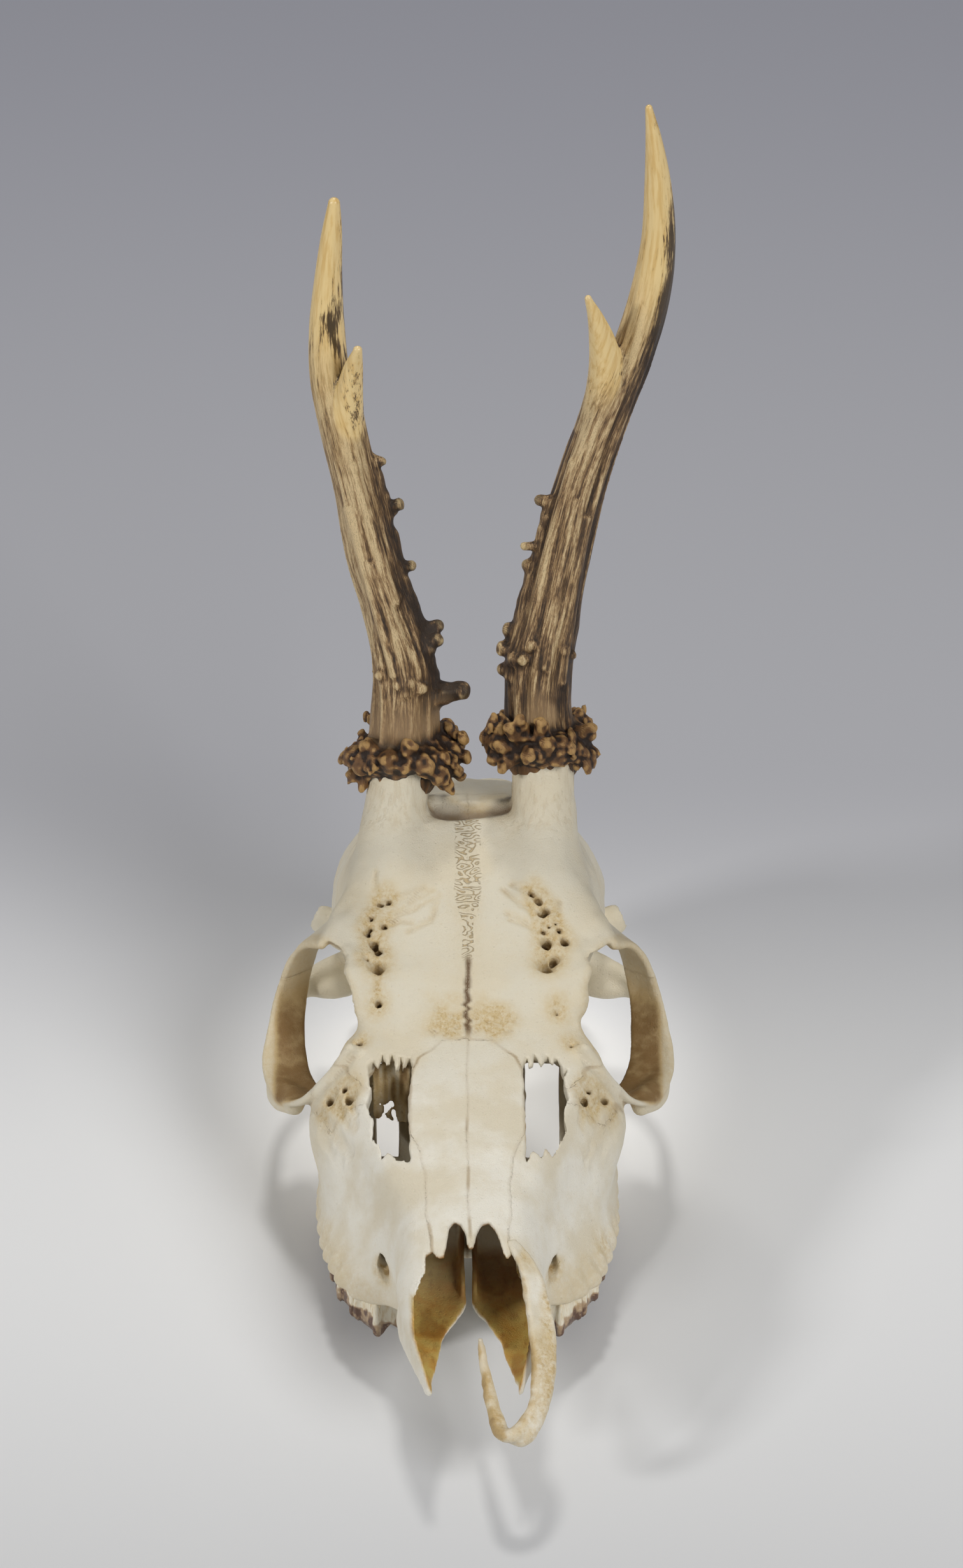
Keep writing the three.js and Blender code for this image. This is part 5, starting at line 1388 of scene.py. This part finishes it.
# Each lamp: place and aim in m, width in m, power in W, colour.
LAMPS = {
    "overhead": ((-0.03, 0.72, 1.46), (0, 0, 0.08), 0.22, 6.4, (1, 0.975, 0.93)),
    "side": ((-1.2, -0.62, 0.80), (0, 0, 0.1), 0.26, 9.0, (1, 0.98, 0.95)),
    "front": ((1.0, -1.2, 1.22), (0, 0, 0.05), 0.9, 20.5, (1, 0.985, 0.965)),
}
SKY_COLOUR, SKY_STRENGTH = (0.96, 0.97, 1, 1), 0.13


def floor_material():
    s = Shader("studio_floor")
    place = s.node("ShaderNodeTexCoord", output="Object")
    y = s.node("ShaderNodeSeparateXYZ", {0: place}, output=1)
    # painted shade: the floor darkens in front of the skull and behind it
    colour = FLOOR_COLOURS_WITH_PAINTED_SHADE[0]
    for (start, end), next_colour in zip(FLOOR_FROM_TO, FLOOR_COLOURS_WITH_PAINTED_SHADE[1:]):
        colour = s.mix(s.ramp(y, start, end), colour, next_colour)
    centred = s.node("ShaderNodeVectorMath", {0: place, 1: (0.0, -GLOW_PLACE, 0.0)}, operation="ADD")
    narrowed = s.scaled(centred, (1.25, 1.0, 1.0))
    away = s.node("ShaderNodeVectorMath", {0: narrowed}, output=1, operation="LENGTH")
    glow = s.ramp(away, *GLOW_EDGE, GLOW_STRENGTH, 0.0)
    return s.finish(Base_Color=colour, Roughness=0.85, Emission_Color=(1, 1, 1, 1), Emission_Strength=glow)


def build_stage():
    mesh = bpy.data.meshes.new("floor")
    corners = [(-1, -1), (1, -1), (1, 1), (-1, 1)]
    mesh.from_pydata([(FLOOR_REACH * x, FLOOR_REACH * y, 0) for x, y in corners], [], [(0, 1, 2, 3)])
    mesh.materials.append(floor_material())
    floor = bpy.data.objects.new("floor", mesh)
    bpy.context.scene.collection.objects.link(floor)


def soft_light(name, place, aim, size, power, colour):
    light = bpy.data.lights.new(name, "AREA")
    light.shape = "DISK"
    light.size, light.energy, light.color = size, power, colour
    lamp = bpy.data.objects.new(name, light)
    lamp.matrix_world = looking(place, np.array(aim, float) - np.array(place, float))
    bpy.context.scene.collection.objects.link(lamp)


def looking(place, forward, up=(0, 0, 1)):
    """The matrix of a lamp or camera at a place, which looks along `forward`."""
    f = np.array(forward, float)
    f /= np.linalg.norm(f)
    right = np.cross(f, up)
    right /= np.linalg.norm(right)
    m = Matrix.Identity(4)
    for i, column in enumerate((right, np.cross(right, f), -f, np.array(place, float))):
        for j in range(3):
            m[j][i] = float(column[j])
    return m


def build_studio():
    scene = bpy.context.scene
    scene.view_settings.view_transform = "Standard"
    world = bpy.data.worlds.new("studio")
    world.use_nodes = True
    sky = world.node_tree.nodes["Background"]
    sky.inputs["Color"].default_value = SKY_COLOUR
    sky.inputs["Strength"].default_value = SKY_STRENGTH
    scene.world = world
    for name, (place, aim, size, power, colour) in LAMPS.items():
        soft_light(name, place, aim, size, power, colour)


# The camera's place in the skull's own frame in mm, how far it looks down there, and its lens.
CAMERA_PLACE = (3.06, -738.5, 510.1)
CAMERA_DOWN = math.radians(25.5)
FOCAL_PIXELS = 6840
PICTURE_HEIGHT = 2461
SENSOR = 36.0


def build_camera():
    data = bpy.data.cameras.new("camera")
    data.sensor_width = SENSOR
    data.lens = FOCAL_PIXELS / PICTURE_HEIGHT * SENSOR
    data.clip_start, data.clip_end = 0.05, 30
    camera = bpy.data.objects.new("camera", data)
    place = np.array([CAMERA_PLACE[0], *at_rest(*CAMERA_PLACE[1:])]) / 1000
    down = CAMERA_DOWN + TILT
    camera.matrix_world = looking(place, (0, math.cos(down), -math.sin(down)))
    bpy.context.scene.collection.objects.link(camera)
    bpy.context.scene.camera = camera


# ---- everything ----
bone = bone_material()
build_bones(bone)
build_loose_bones(bone)
build_teeth(tooth_material())
build_antlers(antler_material())
build_stage()
build_studio()
build_camera()
